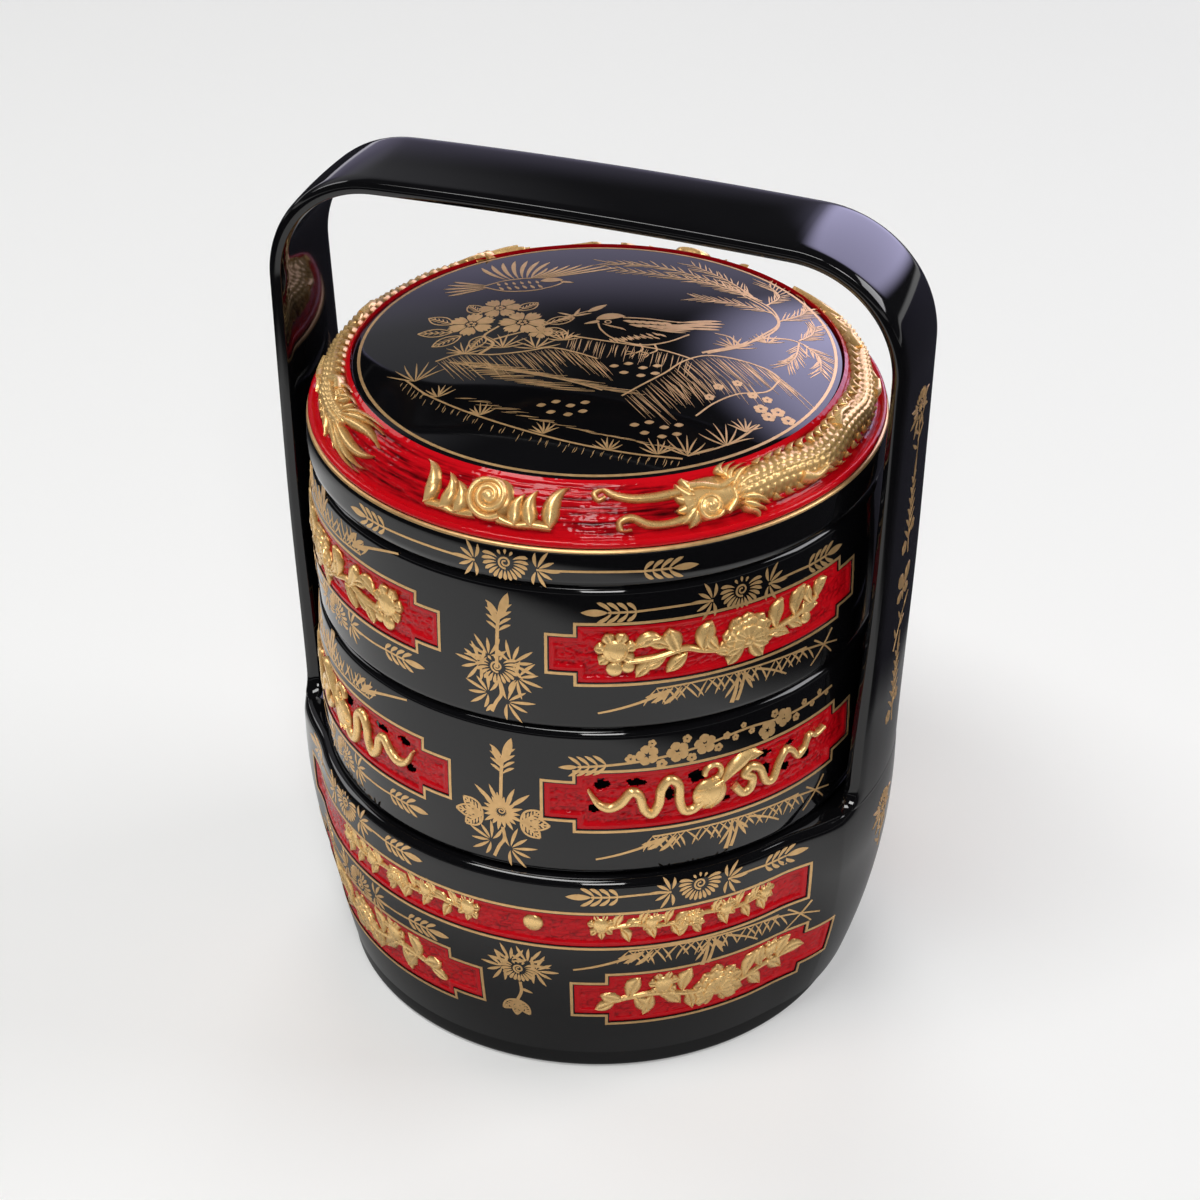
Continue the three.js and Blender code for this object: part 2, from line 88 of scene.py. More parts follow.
# Base bowl
RIM_Z = bowl_high.z
BOWL_RADIUS = bowl_high.y - PAINT_ROOM
BOWL_FOOT_Z = bowl_low.z
BOWL_TUCK = 10.5
BOWL_STRAIGHT = 14.0
RIM_ROUND = 4.5
CHEEK_DEPTH = bowl_high.x - bowl_high.y
CHEEK_FULL = math.radians(15)
CHEEK_FADE = math.radians(17)
CHEEK_FOOT_SHARE = 0.35
FOOT_ROUND = 3.0
FOOT_WIDTH = 15.0
FOOT_TOP_ROUND = 1.0
FOOT_EDGE = 1.5              # a level that keeps the bowl's lower edge crisp
WELL_TOP = 90.0              # the inside runs straight down to here
WELL_FOOT = 21.0
FLOOR_PLAY = 0.5
SHELF_START = 2.0            # the rim's flat shelf starts this far outside the well
CREASED = math.radians(60)   # edges that turn more than this stay sharp

# Strap handle
STRAP_WIDTH = 50.0
STRAP_THICKNESS = 8.0
STRAP_ROUND = 3.0
STRAP_CROWN = 0.9            # the edges of the outer face lie this far below its middle
LEG_INNER = bowl_high.x - STRAP_THICKNESS
LEG_SPLAY = math.radians(1.68)
LEG_RIM_WIDTH = 63.0
LEG_FILLET = 9.0
LEG_FLATTENING = 120.0
BEND_RADIUS = 49.0
CROWN_RADIUS = 2600.0
FILLET_STOPS = (0.04, 0.12, 0.24, 0.42, 0.68, 1.0)
LEG_STEP = 10.0
BEND_STEPS = 24
CROWN_STEPS = 6

# Lid
LID_BAND_SWELL = 0.6
LID_BAND_ROUND = 3.5
LID_TOP_ROUND = 1.3
BEAD = 1.7
RING_WIDTH = 15.5
RING_RISE = ring_high.z - ring_low.z - BEAD
RING_SWELL = 1.6
RING_FOOT_RADIUS = TRAY_RADIUS - LID_TOP_ROUND - 2 * BEAD
RING_TOP_RADIUS = RING_FOOT_RADIUS - RING_WIDTH
DOME_EDGE_Z = ring_high.z - 1.0
DOME_RISE = dome_high.z - DOME_EDGE_Z
DOME_RADIUS = dome_high.x
DOME_THICKNESS = 5.0
DOME_LEDGE = 4.0
DOME_LINE = 101.4
DOME_EDGE_ROUND = 1.2
DOME_STEPS = 40
RING_THICKNESS = 8.0
RING_RELIEF = 1.6            # the ring's relief stands higher than it is drawn

# Carved panels, in flat millimetres
RECESS = 2.0
PIERCED_RECESS = 5.0         # deeper behind a pierced plate, so that its holes are dark
PLATE_BACK = 1.7             # back of a carved plate, below the wall
PLATE_LIP = 0.5              # smooth edge of a carved plate, below the wall
GROUND = 1.25                # carved ground of a plate, below the wall
BASE_RELIEF_SINK = 0.55
GOLD_LINE = 1.25
GOLD_LINE_GAP = 0.45         # black line left between a gold line and the red


class Panel:
    """A stepped cartouche: a long middle with a shorter tab at each end."""

    def __init__(self, main, tab, height, tab_height):
        self.main = main
        self.tab = tab
        self.height = height
        self.tab_height = tab_height

    def inside(self, u, v):
        """Distance to the edge, positive inside."""
        middle = min(self.main / 2 - abs(u), self.height / 2 - abs(v))
        tabs = min(self.main / 2 + self.tab - abs(u), self.tab_height / 2 - abs(v))
        return max(middle, tabs)


UPPER_PANEL = Panel(main=124.0, tab=11.8, height=27.4, tab_height=16.4)
LOWER_PANEL = Panel(main=125.6, tab=13.8, height=29.1, tab_height=17.9)
BASE_PANEL_RIGHT = Panel(main=93.7, tab=15.3, height=29.4, tab_height=18.4)
BASE_PANEL_LEFT = Panel(main=112.0, tab=15.3, height=29.4, tab_height=18.4)
BASE_BAND = Panel(main=290.0, tab=0.0, height=17.7, tab_height=17.7)
UPPER_PANEL_Z = upper_low.z + 38.9
LOWER_PANEL_Z = lower_low.z + 40.0
BASE_PANEL_Z = 46.0
BASE_BAND_Z = 87.0
TRAY_PANELS = {"front_right": 45, "back_right": 135, "back_left": 225, "front_left": 315}


# Surfaces
def around(phi, r, z):
    """A point at an angle from the front of the basket, turning to the right."""
    return Vector((r * math.sin(phi), -r * math.cos(phi), z))


def smoothstep(x, low, high):
    t = min(1.0, max(0.0, (x - low) / (high - low)))
    return t * t * (3 - 2 * t)


def mix(a, b, t):
    return a + (b - a) * t


def shares(count):
    return [i / count for i in range(count + 1)]


def tray_radius(low, high):
    middle = (low + high) / 2
    half = (high - low) / 2 - TRAY_ROUND

    def radius(phi, z):
        t = min(1.0, abs(z - middle) / half)
        return TRAY_RADIUS - TRAY_BELLY * t * t

    return radius


def lid_band_radius(phi, z):
    t = (z - band_low.z) / (band_high.z - band_low.z) * 2 - 1
    return TRAY_RADIUS - LID_BAND_SWELL * t * t


def from_leg(phi):
    """Angle to the nearer leg of the handle."""
    return math.atan2(abs(math.cos(phi)), abs(math.sin(phi)))


def bowl_radius(phi, z):
    widest = RIM_Z - BOWL_STRAIGHT
    below = max(0.0, (widest - z) / (widest - BOWL_FOOT_Z))
    up = min(1.0, max(0.0, (z - BOWL_FOOT_Z) / (RIM_Z - BOWL_FOOT_Z)))
    share = 1 - (1 - CHEEK_FOOT_SHARE) * (1 - up) ** 2
    cheek = 1 - smoothstep(from_leg(phi), CHEEK_FULL, CHEEK_FULL + CHEEK_FADE)
    return BOWL_RADIUS - BOWL_TUCK * below * below + CHEEK_DEPTH * share * cheek


upper_radius = tray_radius(upper_low.z, upper_high.z)
lower_radius = tray_radius(lower_low.z, lower_high.z)


def on_wall(phi, z, radius, turned=1):
    """Lays flat points on a wall about an angle and a height; turned -1 sets them upside down."""
    reach = radius(phi, z)

    def place(p):
        a = phi + turned * p.x / reach
        h = z + turned * p.y
        return around(a, radius(a, h) + p.z, h)

    return place


def on_dome(p):
    """Lifts plan points onto the dome."""
    share = math.hypot(p.x, p.y) / DOME_RADIUS
    return Vector((p.x, p.y, DOME_EDGE_Z + DOME_RISE * (1 - share * share) + p.z))


def ring_slope(t):
    """Radius and height of the carved ring at a share of its slope, from the bead to the dome."""
    bulge = RING_SWELL * math.sin(math.pi * t)
    r = RING_FOOT_RADIUS - t * RING_WIDTH + bulge
    return r, ring_low.z + BEAD + t * RING_RISE + bulge


RING_LENGTH = math.hypot(RING_WIDTH, RING_RISE)
RING_REACH = (RING_FOOT_RADIUS + RING_TOP_RADIUS) / 2
RING_FULL = 8.2              # past this the relief is drawn closer, so that it stays on the ring
RING_CLOSER = 0.4


def on_ring(phi):
    """Lays flat points on the carved ring; y runs up the slope from its middle."""
    lean = math.atan2(RING_WIDTH, RING_RISE)

    def place(p):
        up = p.y
        if abs(up) > RING_FULL:
            up = math.copysign(RING_FULL + RING_CLOSER * (abs(up) - RING_FULL), up)
        r, z = ring_slope(0.5 + up / RING_LENGTH)
        out = p.z * (RING_RELIEF if p.z > 0 else 1)
        return around(phi + p.x / RING_REACH, r + out * math.cos(lean), z + out * math.sin(lean))

    return place


# Nodes
FLOAT, COLOUR = "NodeSocketFloat", "NodeSocketColor"
MIX_FIRST, MIX_SECOND, MIX_RESULT = 6, 7, 2   # the colour sockets of a mix node
FILM_DETAIL = 4.0
SPOTS = (420.0, 3.0)         # scale and detail of the wear on carving


class Wiring:
    """The nodes of a material, group or world, with short ways to add and join them."""

    def __init__(self, tree):
        self.nodes = tree.nodes
        self.links = tree.links

    def feed(self, socket, value):
        """Joins a socket to another one, or sets it to a fixed value."""
        if isinstance(value, bpy.types.NodeSocket):
            self.links.new(value, socket)
        else:
            socket.default_value = value

    def add(self, kind, fed=(), **settings):
        """Adds a node; fed pairs its sockets, by name or number, with what they get."""
        node = self.nodes.new(kind)
        for name, value in settings.items():
            setattr(node, name, value)
        for name, value in fed:
            self.feed(node.inputs[name], value)
        return node

    def place(self):
        return self.add("ShaderNodeTexCoord").outputs["Object"]

    def noise(self, place, scale, detail):
        fed = (("Vector", place), ("Scale", scale), ("Detail", detail))
        return self.add("ShaderNodeTexNoise", fed).outputs["Fac"]

    def ranged(self, share, low, high):
        """Maps a share to the range from low to high."""
        fed = (("Value", share), ("To Min", low), ("To Max", high))
        return self.add("ShaderNodeMapRange", fed).outputs["Result"]

    def step(self, value, low, high):
        """Runs smoothly from 0 at low to 1 at high."""
        fed = (("Value", value), ("From Min", low), ("From Max", high))
        return self.add("ShaderNodeMapRange", fed, interpolation_type="SMOOTHSTEP").outputs["Result"]

    def calc(self, operation, *values, clamp=False):
        node = self.add("ShaderNodeMath", enumerate(values), operation=operation, use_clamp=clamp)
        return node.outputs[0]

    def vector(self, operation, *vectors, result="Value"):
        node = self.add("ShaderNodeVectorMath", enumerate(vectors), operation=operation)
        return node.outputs[result]

    def blend(self, share, first, second, kind="MIX"):
        """Mixes two colours by a share."""
        fed = (("Factor", share), (MIX_FIRST, first), (MIX_SECOND, second))
        node = self.add("ShaderNodeMix", fed, data_type="RGBA", blend_type=kind)
        return node.outputs[MIX_RESULT]


def node_group(name, inputs, outputs):
    group = bpy.data.node_groups.new(name, "ShaderNodeTree")
    for label, value in inputs.items():
        kind = COLOUR if isinstance(value, tuple) else FLOAT
        group.interface.new_socket(label, in_out="INPUT", socket_type=kind).default_value = value
    for label, kind in outputs.items():
        group.interface.new_socket(label, in_out="OUTPUT", socket_type=kind)
    wiring = Wiring(group)
    return group, wiring, wiring.add("NodeGroupInput").outputs, wiring.add("NodeGroupOutput").inputs


# Finishes
def make_handwork_group():
    """Uneven film of a hand-finished coat: a roughness and a small surface wander."""
    group, wiring, given, out = node_group(
        "handwork", {"Scale": 60.0, "Low": 0.05, "High": 0.1},
        {"Roughness": FLOAT, "Height": FLOAT, "Share": FLOAT})
    place = wiring.place()
    share = wiring.noise(place, given["Scale"], FILM_DETAIL)
    wiring.feed(out["Roughness"], wiring.ranged(share, given["Low"], given["High"]))
    wiring.feed(out["Height"], wiring.noise(place, given["Scale"], 1.0))
    wiring.feed(out["Share"], share)
    return group


def make_hollow_shade_group():
    """Painted shade: darkens a colour in the hollows of carving, which a layer of the mesh marks; random wear
    spots vary it.
    """
    group, wiring, given, out = node_group(
        "carved_hollow_shade", {"Raised": (1, 1, 1, 1), "Hollow Shade": (0, 0, 0, 1), "Worn": 0.5}, {"Color": COLOUR})
    depth = wiring.add("ShaderNodeAttribute", attribute_name="hollow_shade").outputs["Fac"]
    wear = wiring.ranged(wiring.noise(wiring.place(), *SPOTS), -0.5, 0.5)
    share = wiring.calc("MULTIPLY_ADD", wear, given["Worn"], depth, clamp=True)
    wiring.feed(out["Color"], wiring.blend(share, given["Raised"], given["Hollow Shade"]))
    return group


HANDWORK = make_handwork_group()
HOLLOW_SHADES = make_hollow_shade_group()


def make_finish(slot, handwork, bump, first, second, worn, sockets):
    """A Principled finish with hand-made unevenness, from a row of the table below."""
    material = bpy.data.materials.new(slot)
    material.use_nodes = True
    wiring = Wiring(material.node_tree)
    shader = wiring.nodes["Principled BSDF"].inputs
    for label, value in sockets.items():
        shader[label].default_value = value
    film = wiring.add("ShaderNodeGroup", zip(("Scale", "Low", "High"), handwork), node_tree=HANDWORK).outputs
    wiring.feed(shader["Roughness"], film["Roughness"])
    fed = (("Strength", 1.0), ("Distance", bump), ("Height", film["Height"]))
    wiring.feed(shader["Normal"], wiring.add("ShaderNodeBump", fed).outputs["Normal"])
    first, second = (*first, 1), (*second, 1)
    if worn is None:
        colour = wiring.blend(film["Share"], first, second)
    else:
        fed = (("Raised", first), ("Hollow Shade", second), ("Worn", worn))
        colour = wiring.add("ShaderNodeGroup", fed, node_tree=HOLLOW_SHADES).outputs["Color"]
    wiring.feed(shader["Base Color"], colour)
    return material


# Slot, scale and range of the roughness, bump, two colours, wear of a carved finish, fixed sockets
# A carved finish has its second colour as painted shade in the hollows, any other wanders between the two
FINISH_TABLE = (
    ("black_lacquer", (28.0, 0.035, 0.075), 0.00002, (0.0025, 0.0025, 0.003), (0.0045, 0.0044, 0.005),
     None, {"Specular IOR Level": 0.5}),
    ("red_lacquer", (240.0, 0.04, 0.10), 0.0003, (0.60, 0.004, 0.010), (0.05, 0.001, 0.002),
     0.35, {"Specular IOR Level": 0.22}),
    ("gilding", (380.0, 0.2, 0.36), 0.00012, (1.0, 0.66, 0.27), (0.40, 0.17, 0.035),
     0.26, {"Metallic": 0.52}),
    ("gold_paint", (320.0, 0.3, 0.46), 0.00003, (0.62, 0.36, 0.14), (0.95, 0.62, 0.29),
     None, {"Metallic": 0.65}),
    ("bamboo", (300.0, 0.5, 0.7), 0.0001, (0.40, 0.24, 0.09), (0.55, 0.37, 0.17), None, {}),
)
FINISHES = {row[0]: make_finish(*row) for row in FINISH_TABLE}


# Pieces
UP = (0, 0, 1)
SEGMENTS = 240
TRAY_SWEEP = math.radians(1.5)
RING_SWEEP = math.radians(0.5)
TRAY_LEVEL = 6.0
BOWL_LEVEL = 5.0
BAND_LEVEL = 2.0
AXIS = 0.01                  # the radius at which a board's outline starts


def piece(name, bm, slot, body, nodes=(), sharp=40):
    """Writes a shape in metres as a piece that rides on a body and stands for its nodes."""
    bmesh.ops.scale(bm, vec=(MM, MM, MM), verts=bm.verts)
    mesh = bpy.data.meshes.new(name)
    bm.to_mesh(mesh)
    bm.free()
    mesh.shade_smooth()
    mesh.set_sharp_from_angle(angle=math.radians(sharp))
    mesh.materials.append(FINISHES[slot])
    made = bpy.data.objects.new(name, mesh)
    bpy.context.scene.collection.objects.link(made)
    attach(made, body)
    if nodes:
        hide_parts(*nodes)
    return made


def arc(r, z, radius, start, end, steps):
    """Points of an arc in the half plane of radius and height; angles in degrees."""
    angles = [math.radians(mix(start, end, t)) for t in shares(steps)]
    return [(r + radius * math.cos(a), z + radius * math.sin(a)) for a in angles]


def ladder(low, high, stops, step):
    """Levels from low to high that hit every stop, at most a step apart."""
    marks = sorted({low, high, *[s for s in stops if low < s < high]})
    levels = [low]
    for a, b in zip(marks, marks[1:]):
        count = max(1, math.ceil((b - a) / step))
        levels += [mix(a, b, (i + 1) / count) for i in range(count)]
    return levels


def revolve(profile, segments=SEGMENTS):
    """Turns a closed outline of radius and height all the way round."""
    bm = bmesh.new()
    verts = [bm.verts.new(around(0, r, z)) for r, z in profile]
    geom = verts + [bm.edges.new(pair) for pair in zip(verts, verts[1:] + verts[:1])]
    bmesh.ops.spin(bm, geom=geom, axis=UP, angle=TURN, steps=segments, use_merge=True)
    bmesh.ops.remove_doubles(bm, verts=bm.verts, dist=0.001)
    bmesh.ops.recalc_face_normals(bm, faces=bm.faces)
    return bm


def revolve_stops(profile, stops, step):
    """Turns a closed outline round in stretches that end at the stops; a layer numbers its points."""
    bm = bmesh.new()
    layer = bm.verts.layers.int.new("row")
    verts = [bm.verts.new(around(stops[0], r, z)) for r, z in profile]
    for i, v in enumerate(verts):
        v[layer] = i
    geom = verts + [bm.edges.new(pair) for pair in zip(verts, verts[1:] + verts[:1])]
    for a, b in zip(stops, stops[1:] + [stops[0] + TURN]):
        steps = max(1, math.ceil((b - a) / step))
        turned = bmesh.ops.spin(bm, geom=geom, axis=UP, angle=b - a, steps=steps)
        geom = turned["geom_last"]
    bmesh.ops.remove_doubles(bm, verts=bm.verts, dist=0.005)
    bmesh.ops.recalc_face_normals(bm, faces=bm.faces)
    return bm


def panel_stops(panel, phi, reach):
    main, tab = panel.main / 2, panel.main / 2 + panel.tab
    return [phi + u / reach for u in sorted({-tab, -main, main, tab})]


def panel_levels(panel, z):
    return [z + s * h / 2 for h in (panel.height, panel.tab_height) for s in (-1, 1)]


def sink_panels(bm, places, inner, depth=RECESS):
    """Cuts a recess into a wall for each panel; places are panel, angle, height and wall radius."""
    sunk = []
    for panel, phi, z, radius in places:
        reach = radius(phi, z)
        for f in bm.faces:
            c = f.calc_center_median()
            if math.hypot(c.x, c.y) < inner:
                continue
            a = math.remainder(math.atan2(c.x, -c.y) - phi, TURN)
            if panel.inside(a * reach, c.z - z) > 0:
                sunk.append(f)
    made = bmesh.ops.extrude_face_region(bm, geom=sunk)["geom"]
    for v in [g for g in made if isinstance(g, bmesh.types.BMVert)]:
        r = math.hypot(v.co.x, v.co.y)
        v.co.x *= 1 - depth / r
        v.co.y *= 1 - depth / r
    left = [f for f in sunk if f.is_valid]
    if left:
        bmesh.ops.delete(bm, geom=left, context="FACES")
    floor = [g for g in made if isinstance(g, bmesh.types.BMFace)]
    return {e for f in floor for e in f.edges}


def make_tray(name, low, high, panel, panel_z, radius, depth):
    inner_floor = low + LEDGE_HEIGHT
    edge = TRAY_RADIUS - TRAY_BELLY - TRAY_ROUND
    side = ladder(low + TRAY_ROUND, high - TRAY_ROUND, panel_levels(panel, panel_z), TRAY_LEVEL)
    profile = [(INNER_RADIUS - LEDGE, low)]
    profile += arc(edge, low + TRAY_ROUND, TRAY_ROUND, -90, 0, 8)[:-1]
    profile += [(radius(0, z), z) for z in side]
    profile += arc(edge, high - TRAY_ROUND, TRAY_ROUND, 0, 90, 8)[1:]
    profile += [(INNER_RADIUS, high), (INNER_RADIUS, inner_floor)]
    profile += [(INNER_RADIUS - LEDGE, inner_floor)]
    angles = [math.radians(a) for a in TRAY_PANELS.values()]
    reach = radius(0, panel_z)
    stops = sorted(s for a in angles for s in panel_stops(panel, a, reach))
    bm = revolve_stops(profile, stops, TRAY_SWEEP)
    sink_panels(bm, [(panel, a, panel_z, radius) for a in angles], TRAY_RADIUS - OUTER_FACE, depth)
    piece(f"{name}_shell", bm, "black_lacquer", name, [f"{name}_wall"])
    make_collar(name, high)
    make_floor(name, inner_floor, tray_floor_high.z - tray_floor_low.z, tray_floor_high.x)


def make_collar(body, rim):
    outer = collar_high.x
    shoulder = outer - COLLAR_STEP
    bore = shoulder - COLLAR_WALL
    bottom = rim - (collar_high.z - collar_low.z - COLLAR_RISE)
    top = rim + COLLAR_RISE
    edge = COLLAR_WALL / 2
    profile = [(bore, bottom), (outer, bottom), (outer, rim), (shoulder, rim)]
    profile += arc(shoulder - edge, top - edge, edge, 0, 180, 10)
    piece(f"{body}_collar_ring", revolve(profile), "black_lacquer", body, [f"{body}_collar"])


def make_floor(body, z, thickness, radius):
    profile = [(AXIS, z), (radius, z), (radius, z + thickness), (AXIS, z + thickness)]
    board = revolve(profile, SEGMENTS // 2)
    piece(f"{body}_floor_board", board, "black_lacquer", body, [f"{body}_floor"])


# Base bowl and strap handle, one unbroken lacquered form
LEG_MIDDLE = LEG_INNER + STRAP_THICKNESS / 2
ROOT_HALF = (LEG_RIM_WIDTH / 2 + LEG_FILLET) / LEG_MIDDLE
ROOT_COLUMNS = 14
SQUARE_RIM = (math.radians(13), math.radians(21))


def strap_path():
    """Stations of the strap from right to left: place, outward direction, width, rim share."""
    top = handle_high.z - STRAP_THICKNESS / 2 - PAINT_ROOM
    crown_z = top - CROWN_RADIUS

    def leg_x(z):
        return LEG_MIDDLE - PAINT_ROOM + (z - RIM_Z) * math.tan(LEG_SPLAY)

    foot = Vector((leg_x(RIM_Z) - BEND_RADIUS * math.cos(LEG_SPLAY),
                   RIM_Z + BEND_RADIUS * math.sin(LEG_SPLAY)))
    along = Vector((math.sin(LEG_SPLAY), math.cos(LEG_SPLAY)))
    to_foot = foot - Vector((0, crown_z))
    half = to_foot.dot(along)
    reach = CROWN_RADIUS - BEND_RADIUS
    run = -half + math.sqrt(half * half - to_foot.length_squared + reach * reach)
    bend = foot + along * run
    bend_end = math.atan2(bend.y - crown_z, bend.x)
    bend_z = bend.y - BEND_RADIUS * math.sin(LEG_SPLAY)

    stations = []
    fillet_rises = [LEG_FILLET * t for t in FILLET_STOPS]
    leg_rises = ladder(LEG_FILLET, bend_z - RIM_Z, [], LEG_STEP)[1:-1]
    for rise in fillet_rises + leg_rises:
        left = max(0.0, LEG_FILLET - rise)
        fillet = LEG_FILLET - math.sqrt(LEG_FILLET ** 2 - left * left)
        width = mix(LEG_RIM_WIDTH, STRAP_WIDTH, rise / (bend_z - RIM_Z)) + 2 * fillet
        curve = 1 - smoothstep(rise, 0, LEG_FLATTENING)
        stations.append((leg_x(RIM_Z + rise), RIM_Z + rise, 0.0, width, curve))
    for t in shares(BEND_STEPS):
        a = mix(-LEG_SPLAY, bend_end, t)
        x, z = bend.x + BEND_RADIUS * math.cos(a), bend.y + BEND_RADIUS * math.sin(a)
        stations.append((x, z, a, STRAP_WIDTH, 0.0))
    for t in shares(CROWN_STEPS)[1:]:
        a = mix(bend_end, math.pi / 2, t)
        x, z = CROWN_RADIUS * math.cos(a), crown_z + CROWN_RADIUS * math.sin(a)
        stations.append((x, z, a, STRAP_WIDTH, 0.0))
    mirrored = [(-x, z, math.pi - a, w, c) for x, z, a, w, c in stations[-2::-1]]
    return stations + mirrored


def strap_sag(u, curve, outer):
    """Fall of the strap from its middle line: round like the bowl at the rim, crowned higher up."""
    bowl = LEG_MIDDLE - math.sqrt(LEG_MIDDLE ** 2 - u * u)
    crown = STRAP_CROWN * (2 * u / STRAP_WIDTH) ** 2
    return mix(crown * outer, bowl, curve)


def strap_point(station, across, through):
    """A point of the strap's rounded section; across and through run from -1 to 1."""
    x, z, normal, width, curve = station
    half, thick = width / 2, STRAP_THICKNESS / 2
    last = 1 - 2 / ROOT_COLUMNS
    if abs(across) <= last + 0.01:
        u = across / last * (half - STRAP_ROUND)
        v = through * thick
    elif abs(through) > 0.9:
        corner = STRAP_ROUND * (1 - math.sqrt(0.5))
        u = math.copysign(half - corner, across)
        v = math.copysign(thick - corner, through)
    else:
        u = math.copysign(half, across)
        v = 2 * through * (thick - STRAP_ROUND)
    v -= strap_sag(u, curve, (1 + through) / 2)
    return Vector((x + v * math.cos(normal), u, z + v * math.sin(normal)))


def base_panel_places():
    right, left = math.radians(44), math.radians(-37)
    half = math.pi
    return {
        "base_panel_front_right": (BASE_PANEL_RIGHT, right, BASE_PANEL_Z, bowl_radius),
        "base_panel_front_left": (BASE_PANEL_LEFT, left, BASE_PANEL_Z, bowl_radius),
        "base_panel_back_left": (BASE_PANEL_RIGHT, right + half, BASE_PANEL_Z, bowl_radius),
        "base_panel_back_right": (BASE_PANEL_LEFT, left + half, BASE_PANEL_Z, bowl_radius),
        "base_band_front": (BASE_BAND, 0.0, BASE_BAND_Z, bowl_radius),
        "base_band_back": (BASE_BAND, half, BASE_BAND_Z, bowl_radius),
    }


def relief_radius(phi, z):
    """The base's relief lies a little deeper than the trays'."""
    return bowl_radius(phi, z) - BASE_RELIEF_SINK


def make_base():
    places = base_panel_places()
    levels = panel_levels(BASE_PANEL_RIGHT, BASE_PANEL_Z) + panel_levels(BASE_BAND, BASE_BAND_Z)
    side = ladder(BOWL_FOOT_Z, RIM_Z - RIM_ROUND, levels + [BOWL_FOOT_Z + FOOT_EDGE], BOWL_LEVEL)
    rim = arc(BOWL_RADIUS - RIM_ROUND, RIM_Z - RIM_ROUND, RIM_ROUND, 0, 90, 5)[1:]
    shelf = [1.0, 0.5, 0.0, -0.5, -1.0]
    start = INNER_RADIUS + SHELF_START
    shelf_radii = [mix(start, BOWL_RADIUS - RIM_ROUND, (s + 1) / 2) for s in shelf]
    lip = base_floor_high.x + FLOOR_PLAY
    profile = [(bowl_radius(0, z), z) for z in side] + rim[:-1]
    first_shelf = len(profile)
    profile += [(r, RIM_Z) for r in shelf_radii]
    profile += [(INNER_RADIUS, RIM_Z), (INNER_RADIUS, WELL_TOP), (lip, WELL_FOOT), (lip, BOWL_FOOT_Z)]

    right, left = math.pi / 2, -math.pi / 2
    root = [a + s * ROOT_HALF for a in (right, left) for s in (-1, 1)]
    stops = []
    for panel, phi, z, radius in places.values():
        stops += panel_stops(panel, phi, radius(phi, z))
    stops = sorted({round(math.remainder(s, TURN), 6) for s in stops + root})
    bm = revolve_stops(profile, stops, 2 * ROOT_HALF / ROOT_COLUMNS + 1e-6)

    # The side swells into the cheeks, and under the legs the rim is square and as deep as the strap
    row = bm.verts.layers.int["row"]
    outer = len(side) + len(rim) - 1
    for v in bm.verts:
        phi = math.atan2(v.co.x, -v.co.y)
        r = math.hypot(v.co.x, v.co.y)
        leg = 1 - smoothstep(from_leg(phi), *SQUARE_RIM)
        cheek = bowl_radius(phi, v.co.z) - bowl_radius(0, v.co.z)
        if v[row] < outer:
            square = (bowl_radius(0, v.co.z) - r) * leg
            grown = r + square + cheek
        elif v[row] < first_shelf + len(shelf):
            out = shelf[v[row] - first_shelf]
            under_leg = LEG_MIDDLE + out * STRAP_THICKNESS / 2
            grown = mix(r + cheek * 0.5 * (out + 1), under_leg, leg)
        else:
            continue
        v.co.x *= grown / r
        v.co.y *= grown / r

    floor_edges = sink_panels(bm, places.values(), INNER_RADIUS)
    crease = bm.edges.layers.float.new("crease_edge")
    for e in bm.edges:
        if len(e.link_faces) == 2 and e.calc_face_angle() > CREASED:
            if e.verts[0].co.z < BASE_BAND_Z + BASE_BAND.height or e in floor_edges:
                e[crease] = 1.0

    # The legs grow from the rim: the strap is drawn from the right root over to the left one
    across = bm.verts.layers.float.new("across")
    through = bm.verts.layers.float.new("through")
    loops = []
    for middle in (right, left):
        patch = []
        for f in bm.faces:
            rows = {v[row] for v in f.verts}
            if min(rows) < first_shelf or max(rows) >= first_shelf + len(shelf):
                continue
            c = f.calc_center_median()
            if abs(math.remainder(math.atan2(c.x, -c.y) - middle, TURN)) < ROOT_HALF:
                patch.append(f)
        edges = [e for f in patch for e in f.edges]
        border = [e for e in set(edges) if edges.count(e) == 1]
        for v in {v for e in border for v in e.verts}:
            a = 0.0
            if middle == right:
                a = math.remainder(math.atan2(v.co.x, -v.co.y) - right, TURN)
            v[across] = max(-1.0, min(1.0, a / ROOT_HALF))
            v[through] = shelf[v[row] - first_shelf]
        bmesh.ops.delete(bm, geom=patch, context="FACES_ONLY")
        bmesh.ops.delete(bm, geom=[e for e in bm.edges if e.is_wire], context="EDGES")
        loops.append(border)
    strap, left_root = loops
    for station in strap_path():
        grown = bmesh.ops.extrude_edge_only(bm, edges=strap)["geom"]
        strap = [g for g in grown if isinstance(g, bmesh.types.BMEdge)]
        for v in {v for e in strap for v in e.verts}:
            v.co = strap_point(station, v[across], v[through])
    bmesh.ops.bridge_loops(bm, edges=strap + left_root)
    loose = [v for v in bm.verts if not v.link_faces]
    bmesh.ops.delete(bm, geom=loose, context="VERTS")
    bmesh.ops.recalc_face_normals(bm, faces=bm.faces)
    body = piece("base_bowl_and_strap", bm, "black_lacquer", "base", ["base_wall", "handle"])
    smooth = body.modifiers.new("smooth", "SUBSURF")
    smooth.levels = 1
    smooth.render_levels = 1

